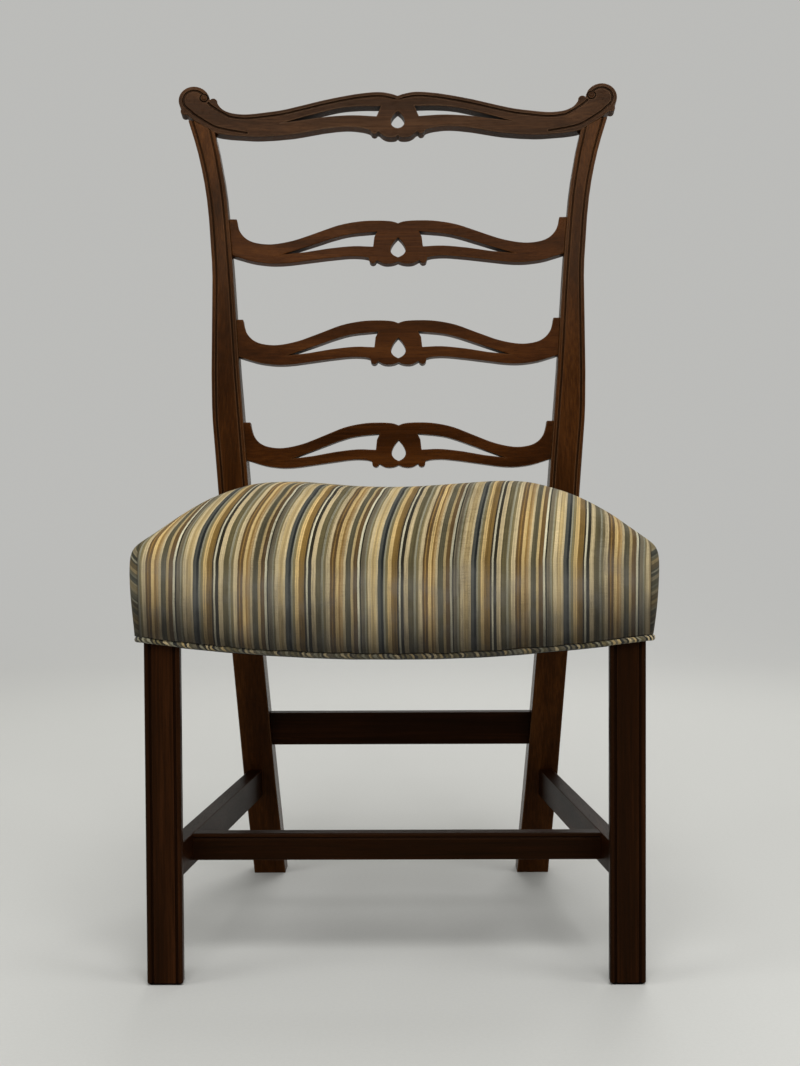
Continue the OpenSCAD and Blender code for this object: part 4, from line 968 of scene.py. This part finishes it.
@dataclass
class ClothMap:
    """Where each point of the cover lies on the flat cloth.

    The cover is measured in rows from its front to its back. A shoulder is the stretch
    of a row just before the corner seam, where the cloth bends over to go down the side.
    """

    piece: Piece
    low: Vector
    high: Vector
    skew: float = 0.128
    spread: float = 0.20
    roll: float = 92 * MM
    roll_share: float = 0.8
    seam_in: float = 11 * MM
    past_share: float = 0.4
    shoulder: float = 48 * MM
    steps: int = 8
    rows: int = 24
    rim_window: float = 16 * MM
    row_window: float = 12 * MM
    step_window: float = 7 * MM
    crown_window: float = 12 * MM
    usual_height: float = 112 * MM
    starts: float = 10 * MM
    full_after: float = 170 * MM

    def __post_init__(self) -> None:
        """Finds the rows, and what is measured at each of them."""
        self.points = [vertex.co.copy() for vertex in self.piece.data.vertices]
        deep = self.high.y - self.low.y
        self.depths = [self.low.y + deep * k / self.rows for k in range(self.rows + 1)]
        widths = self.rim_widths()
        heights = self.shoulder_heights(widths)
        self.widths, self.rims = self.table(widths), self.table(heights[-1])
        self.excess = [self.table(values) for values in self.shoulder_excess(heights)]

    def table(self, values: list[float]) -> DepthTable:
        """A table of one value for each row."""
        return DepthTable(self.low.y, self.high.y, values)

    def rim_widths(self) -> list[float]:
        """How far out the cover reaches at each row."""
        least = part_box("side_seat_rail_right")[1].x
        widths = []
        for y in self.depths:
            near = (abs(co.x) for co in self.points if abs(co.y - y) < self.rim_window)
            widths.append(max(near, default=least))
        for k in range(3):
            widths[k] = max(widths[k], self.high.x - (k + 1) * MM)
        return widths

    def shoulder_heights(self, widths: list[float]) -> list[list[float]]:
        """Heights along the shoulder, at each step out to the rim and each row."""
        heights: list[list[float]] = [[] for _ in range(self.steps + 1)]
        for width, y in zip(widths, self.depths):
            row = [(abs(co.x), co.z) for co in self.points if abs(co.y - y) < self.row_window]
            for j, column in enumerate(heights):
                place = width - self.seam_in - self.shoulder * (1 - j / self.steps)
                near = [(out - place, z) for out, z in row if abs(out - place) < self.step_window]
                column.append(self.rim_height(near) if near else self.low.z + self.usual_height)
        return heights

    def rim_height(self, near: list[tuple[float, float]]) -> float:
        """Height of the cover's top at one place of a row.

        Args:
            near: How far out of that place each point nearby lies, and its height.

        Returns:
            The height there, from a straight line through the uppermost points.
        """
        crown = max(height for _, height in near)
        upper = [(out, height) for out, height in near if height > crown - self.crown_window]
        mean_out = sum(out for out, _ in upper) / len(upper)
        mean_height = sum(height for _, height in upper) / len(upper)
        spread = sum((out - mean_out) ** 2 for out, _ in upper)
        if spread < MM * MM:
            return mean_height
        rise = sum((out - mean_out) * (height - mean_height) for out, height in upper) / spread
        return mean_height - rise * mean_out

    def shoulder_excess(self, heights: list[list[float]]) -> list[list[float]]:
        """How much longer than its width the shoulder's cloth is, up to each step."""
        flat = self.shoulder / self.steps
        excess = [[0.0] * len(self.depths)]
        for inner, outer in zip(heights, heights[1:]):
            longer = [math.hypot(flat, b - a) - flat for a, b in zip(inner, outer)]
            excess.append([sum(pair) for pair in zip(excess[-1], longer)])
        return excess

    def excess_at(self, past: float, y: float, reach: float) -> float:
        """The shoulder's excess at one point, eased in behind the front of the seat.

        Args:
            past: Distance past the corner seam.
            y: Depth of the point.
            reach: Length of cloth from the front of the seat.

        Returns:
            The excess.
        """
        share = min(max(past / self.shoulder + 1.0, 0.0), 1.0) * self.steps
        j = min(int(share), self.steps - 1)
        inner, outer = self.excess[j].at(y), self.excess[j + 1].at(y)
        back = min(max((reach - self.starts) / self.full_after, 0.0), 1.0)
        return (inner + (outer - inner) * (share - j)) * back * back * (3 - 2 * back)

    def write(self, hem: Callable[[float, float], float]) -> None:
        """Writes two marks on each point of the cover.

        The first is the place across and along the cloth over the top, front and back,
        and how far the point is past the corner seam. The second is the same for cloth
        that hangs down the sides, and the height over the lower edge.

        Args:
            hem: Gives the height of the lower edge.
        """
        attributes = self.piece.data.attributes
        top = attributes.new("cloth_top", "FLOAT_VECTOR", "POINT")
        side = attributes.new("cloth_side", "FLOAT_VECTOR", "POINT")
        for index, (x, y, z) in enumerate(self.points):
            sign = 1.0 if x >= 0 else -1.0
            reach = y - self.low.y + self.roll_share * max(z - self.low.z - self.roll, 0.0)
            lean = self.skew * reach
            wide = 1.0 + self.spread * reach
            edge = self.widths.at(y) - self.seam_in
            drop = max(self.rims.at(y) - z, 0.0)
            past = abs(x) - edge
            extra = self.excess_at(past, y, reach)
            beyond = max(past, 0.0) * self.past_share + drop + extra
            down = (sign * edge - lean) * wide + sign * beyond
            top.data[index].vector = ((x - lean) * wide + sign * extra, y - z, past)
            side.data[index].vector = (down, y, z - hem(x, self.low.z))


@dataclass
class Upholstery:
    """The stuffed seat: deck, foam, wadding, striped cover, welt and dust cover."""

    saddle: float = 17.6 * MM
    front_half: float = 249.5 * MM
    swell_cap: float = 4 * MM
    swell_frames: int = 20
    skin: float = 1.2 * MM
    heart_height: float = 5 * MM
    inward: float = 0.12
    tuck: float = 0.7 * MM
    tuck_pitch: float = 7.5 * MM
    tuck_fade: float = 13 * MM
    uneven: float = 1.1 * MM
    cord_swell: float = 0.25 * MM
    cord_lump: float = 0.22 * MM
    seed: int = 7

    def build(self) -> list[Piece]:
        """Makes the soft pieces, from the deck up."""
        return [
            self.build_deck(),
            self.build_stuffing("seat_foam", "foam_block", FOAM),
            self.build_stuffing("seat_wadding", "cotton_layer", COTTON),
            self.build_cover(),
            self.build_welt(),
            self.build_dust_cover(),
        ]

    def rippled(self, node: str, name: str, cuts: int, height: float, size: float) -> Piece:
        """Copies a thin cloth, and moves it up and down a little, as it isn't quite flat.

        Args:
            node: The frame's node that it stands for.
            name: The new piece's name.
            cuts: How many cuts each of its edges gets.
            height: The most that a point moves.
            size: How far apart the ripples are.

        Returns:
            The new piece.
        """
        piece = copied(node, name)
        in_edit_mode(piece, lambda: bpy.ops.mesh.subdivide(number_cuts=cuts))
        for vertex in piece.data.vertices:
            vertex.co.z += height * noise.noise(vertex.co / size + Vector((self.seed, 0, 0)))
        smoothed(piece, 40)
        return piece

    def build_deck(self) -> Piece:
        """Makes the hessian deck over the webbing."""
        piece = self.rippled("deck_cloth", "hessian_deck", 6, 0.25 * MM, 40 * MM)
        dressed(piece, "deck_cloth", HESSIAN.make())
        return piece

    def build_stuffing(self, node: str, name: str, stuffing: Stuffing) -> Piece:
        """Makes one layer of the stuffing, with its crown rounded."""
        piece = copied(node, name)
        self.round_over(piece, 1)
        return dressed(piece, node, stuffing.make())

    def round_over(self, piece: Piece, levels: int) -> None:
        """Joins a solid's triangles in pairs, and subdivides them smooth so many times."""

        def pair() -> None:
            """Turns triangles into squares where they lie nearly flat."""
            bpy.ops.mesh.select_all(action="SELECT")
            bpy.ops.mesh.tris_convert_to_quads(
                face_threshold=math.radians(50), shape_threshold=math.radians(70)
            )

        in_edit_mode(piece, pair)
        subdivided(piece, levels)
        smoothed(piece, 50)

    def build_cover(self) -> Piece:
        """Makes the striped cover, blown up over its stuffing and marked for its stripes."""
        piece = copied("seat_cover", "striped_seat_cover")
        low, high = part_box("seat_cover")
        heart = Vector((0.0, (low.y + high.y) / 2, low.z + self.heart_height))

        def inside(polygon: bpy.types.MeshPolygon) -> bool:
            """Whether a face looks towards the stuffing, or is part of an edge."""
            away = (polygon.center - heart).normalized()
            return polygon.normal.dot(away) < self.inward

        select_faces(piece, inside)
        in_edit_mode(piece, lambda: bpy.ops.mesh.delete(type="FACE"))
        self.round_over(piece, 2)
        self.blow_up(piece)
        subdivided(piece, 1)
        self.pucker(piece, low)
        ClothMap(piece, low, high).write(self.hem)
        wall = piece.modifiers.new("Wall", "SOLIDIFY")
        wall.thickness, wall.offset = self.skin, -1.0
        apply_all(piece)
        smoothed(piece, 60)
        dressed(piece, "seat_cover", StripedCloth(low.y).make())
        return piece

    def blow_up(self, piece: Piece) -> None:
        """Lets the cover, one skin thick, swell under pressure, held at its lower edge."""
        scene = bpy.context.scene
        rest = [(vertex.co.copy(), vertex.normal.copy()) for vertex in piece.data.vertices]
        uses = Counter(key for polygon in piece.data.polygons for key in polygon.edge_keys)
        held = {point for key, count in uses.items() if count == 1 for point in key}
        group = piece.vertex_groups.new(name="tacked")
        group.add(list(held), 1.0, "REPLACE")
        cloth = piece.modifiers.new("Cloth", "CLOTH")
        settings = cloth.settings
        settings.quality = 6
        settings.mass = 0.35
        settings.tension_stiffness = settings.compression_stiffness = 25
        settings.shear_stiffness = 12
        settings.bending_stiffness = 1.5
        settings.vertex_group_mass = group.name
        settings.use_pressure = True
        settings.uniform_pressure_force = 4
        settings.effector_weights.gravity = 0
        cloth.collision_settings.use_collision = False
        cloth.point_cache.frame_start, cloth.point_cache.frame_end = 1, self.swell_frames
        for step in range(1, self.swell_frames + 1):
            scene.frame_set(step)
        apply_all(piece)
        scene.frame_set(1)
        for vertex, (start, outward) in zip(piece.data.vertices, rest):
            move = vertex.co - start
            move -= outward * min(move.dot(outward), 0.0)
            if move.length > self.swell_cap:
                move = move.normalized() * self.swell_cap
            vertex.co = start + move

    def hem(self, x: float, low: float) -> float:
        """Height of the cover's lower edge at the front."""
        return low + self.saddle * min(abs(x) / self.front_half, 1.0) ** 2

    def pucker(self, piece: Piece, low: Vector) -> None:
        """Draws the cover in above its welt, as tacked cloth is; low is its lowest corner."""
        mesh = piece.data
        moves = []
        for vertex in mesh.vertices:
            x, y, z = vertex.co
            above = max(z - self.hem(x, low.z), 0.0)
            run = x + math.copysign(1.0, x) * (y - low.y)
            phase = 6.6 * noise.noise(Vector((run * 22, self.seed, 0)))
            tucks = math.sin(run / self.tuck_pitch + phase) * math.exp(-above / self.tuck_fade)
            broad = noise.noise(Vector((x * 11, y * 11, z * 15 + self.seed)))
            moves.append(vertex.normal * (self.tuck * tucks + self.uneven * broad))
        for vertex, move in zip(mesh.vertices, moves):
            vertex.co += move

    def build_welt(self) -> Piece:
        """Makes the covered cord along the seat's lower edge."""
        piece = copied("seat_welt", "striped_welt_cord")
        self.round_over(piece, 2)

        def swell() -> None:
            """Gives back what the rounding took off."""
            bpy.ops.mesh.select_all(action="SELECT")
            bpy.ops.transform.shrink_fatten(value=self.cord_swell)

        in_edit_mode(piece, swell)
        for vertex in piece.data.vertices:
            lump = noise.noise(vertex.co * 150 + Vector((self.seed, 0, 0)))
            vertex.co += vertex.normal * (self.cord_lump * lump)
        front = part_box("seat_welt")[0].y
        return dressed(piece, "seat_welt", WeltCord(front).make())

    def build_dust_cover(self) -> Piece:
        """Makes the black cloth under the seat."""
        piece = self.rippled("dust_cover", "cambric_dust_cover", 4, 0.5 * MM, 60 * MM)
        dressed(piece, "dust_cover", CAMBRIC.make())
        return piece


@dataclass(frozen=True)
class Lamp:
    """A square light: where it hangs, what it looks at, its side and its power in watts."""

    name: str
    place: Place
    target: Place
    size: float
    power: float

    def hang(self) -> None:
        """Hangs the light."""
        data = bpy.data.lights.new(self.name, "AREA")
        data.shape, data.size, data.energy = "SQUARE", self.size, self.power
        lamp = bpy.data.objects.new(self.name, data)
        bpy.context.scene.collection.objects.link(lamp)
        lamp.location = self.place
        ahead = Vector(self.target) - Vector(self.place)
        lamp.rotation_euler = ahead.to_track_quat("-Z", "Y").to_euler()


@dataclass
class Studio:
    """A pale floor that curves up behind, soft lights and the camera."""

    lamps: tuple[Lamp, ...] = (
        Lamp("key", (0.15, -2.2, 2.8), (0.0, 0.0, 0.5), 1.9, 58),
        Lamp("left_fill", (-2.7, -1.6, 1.7), (0.0, 0.0, 0.6), 1.6, 20),
        Lamp("right_fill", (2.7, -1.4, 1.8), (0.0, 0.0, 0.6), 1.6, 20),
        Lamp("back_light", (0.4, 2.6, 2.6), (0.0, 0.0, 0.6), 1.8, 44),
    )
    sweep_front: float = -9.0
    sweep_back: float = 3.6
    sweep_height: float = 4.5
    sweep_bend: float = 1.2
    half_width: float = 9.0
    camera_place: Place = (0.02477, -1.78697, 0.50396)
    yaw: float = -0.694
    pitch: float = 1.921
    roll: float = -0.304
    focal_pixels: float = 1550.0
    picture_height: int = 1066
    sensor_width: float = 36.0
    air_colour: Colour = (0.98, 0.98, 0.95, 1.0)
    air_level: float = 0.51
    air_below: float = 0.14
    air_above: float = 0.42
    paper_dull: Colour = tint(206, 206, 202)
    paper_pale: Colour = tint(212, 212, 208)
    glow_from: float = 1.5
    glow_full: float = 3.6

    def build(self) -> None:
        """Makes the stage, the lights and the camera."""
        self.build_stage()
        for lamp in self.lamps:
            lamp.hang()
        self.light_air()
        self.build_camera()

    def build_stage(self) -> None:
        """Makes the floor and backdrop as one swept sheet."""
        bpy.ops.object.select_all(action="DESELECT")
        bpy.ops.mesh.primitive_plane_add(size=2)
        sheet = bpy.context.active_object
        sheet.name = "pale_sweep"
        for vertex in sheet.data.vertices:
            vertex.co.x *= self.half_width
            vertex.co.y = self.sweep_back if vertex.co.y > 0 else self.sweep_front
            vertex.select = vertex.co.y > 0
        for edge in sheet.data.edges:
            edge.select = all(sheet.data.vertices[v].co.y > 0 for v in edge.vertices)
        for polygon in sheet.data.polygons:
            polygon.select = False

        def raise_back() -> None:
            """Extrudes the far edge upwards."""
            bpy.ops.mesh.select_mode(type="EDGE")
            bpy.ops.mesh.extrude_edges_move(
                TRANSFORM_OT_translate={"value": (0, 0, self.sweep_height)}
            )

        in_edit_mode(sheet, raise_back)
        eased(sheet, self.sweep_bend, 24, 30)
        smoothed(sheet, 60)
        graph = Graph.of_material("pale_paper")
        grain = graph.noise(graph.place(), 260.0, 2.0)
        colour = graph.mix(grain, self.paper_dull, self.paper_pale)
        paper = graph.node("BsdfPrincipled", {}, {"Base Color": colour, "Roughness": 0.95})
        glow = graph.node("Emission", {}, {"Color": self.air_colour, "Strength": self.air_level})
        reach = graph.node("VectorMath", {"operation": "LENGTH"}, {0: graph.place()}, "Value")
        seen = graph.node("LightPath", output="Is Camera Ray")
        far = reach.ramp(self.glow_from, self.glow_full) * seen
        graph.lead_out(graph.node("MixShader", {}, {0: far, 1: paper, 2: glow}))
        sheet.data.materials.append(graph.owner)

    def light_air(self) -> None:
        """Lights the air, softly from above and hardly at all from the level."""
        scene = bpy.context.scene
        scene.world = scene.world or bpy.data.worlds.new("air")
        scene.view_settings.view_transform = "Standard"
        graph = Graph(scene.world)
        rise = graph.parts(graph.node("TexCoord", output="Generated"))[2]
        levels = {1: 0.05, 2: 0.9, 3: self.air_below, 4: self.air_above}
        height = graph.node("MapRange", {}, {0: rise, **levels})
        seen = graph.node("LightPath", output="Is Camera Ray")
        level = graph.node("Mix", {}, {0: seen, 2: height, 3: self.air_level})
        air = graph.node("Background", {}, {"Color": self.air_colour, "Strength": level})
        graph.lead_out(air, "OutputWorld")

    def build_camera(self) -> None:
        """Places the camera where the photograph was taken from."""
        yaw, pitch, roll = (math.radians(a) for a in (self.yaw, self.pitch, self.roll))
        ahead = Vector((math.sin(yaw), math.cos(yaw), 0))
        right = Vector((math.cos(yaw), -math.sin(yaw), 0))
        up = Vector((0, 0, 1))
        look = ahead * math.cos(pitch) - up * math.sin(pitch)
        rise = up * math.cos(pitch) + ahead * math.sin(pitch)
        across = right * math.cos(roll) + rise * math.sin(roll)
        over = rise * math.cos(roll) - right * math.sin(roll)
        turn = Matrix((across, over, -look)).transposed()
        data = bpy.data.cameras.new("photo_camera")
        data.sensor_width = self.sensor_width
        data.lens = self.focal_pixels / self.picture_height * data.sensor_width
        data.clip_start, data.clip_end = 0.05, 60
        camera = bpy.data.objects.new("photo_camera", data)
        bpy.context.scene.collection.objects.link(camera)
        camera.matrix_world = Matrix.Translation(Vector(self.camera_place)) @ turn.to_4x4()
        bpy.context.scene.camera = camera


def main() -> None:
    """Builds the chair's pieces in order, then the studio."""
    logging.basicConfig(level=logging.INFO, format="%(name)s: %(message)s")
    for assembly in (Back(), Base(), SeatFrame(), Upholstery(), Studio()):
        log.info("building the %s", type(assembly).__name__)
        assembly.build()


if __name__ == "__main__":
    main()
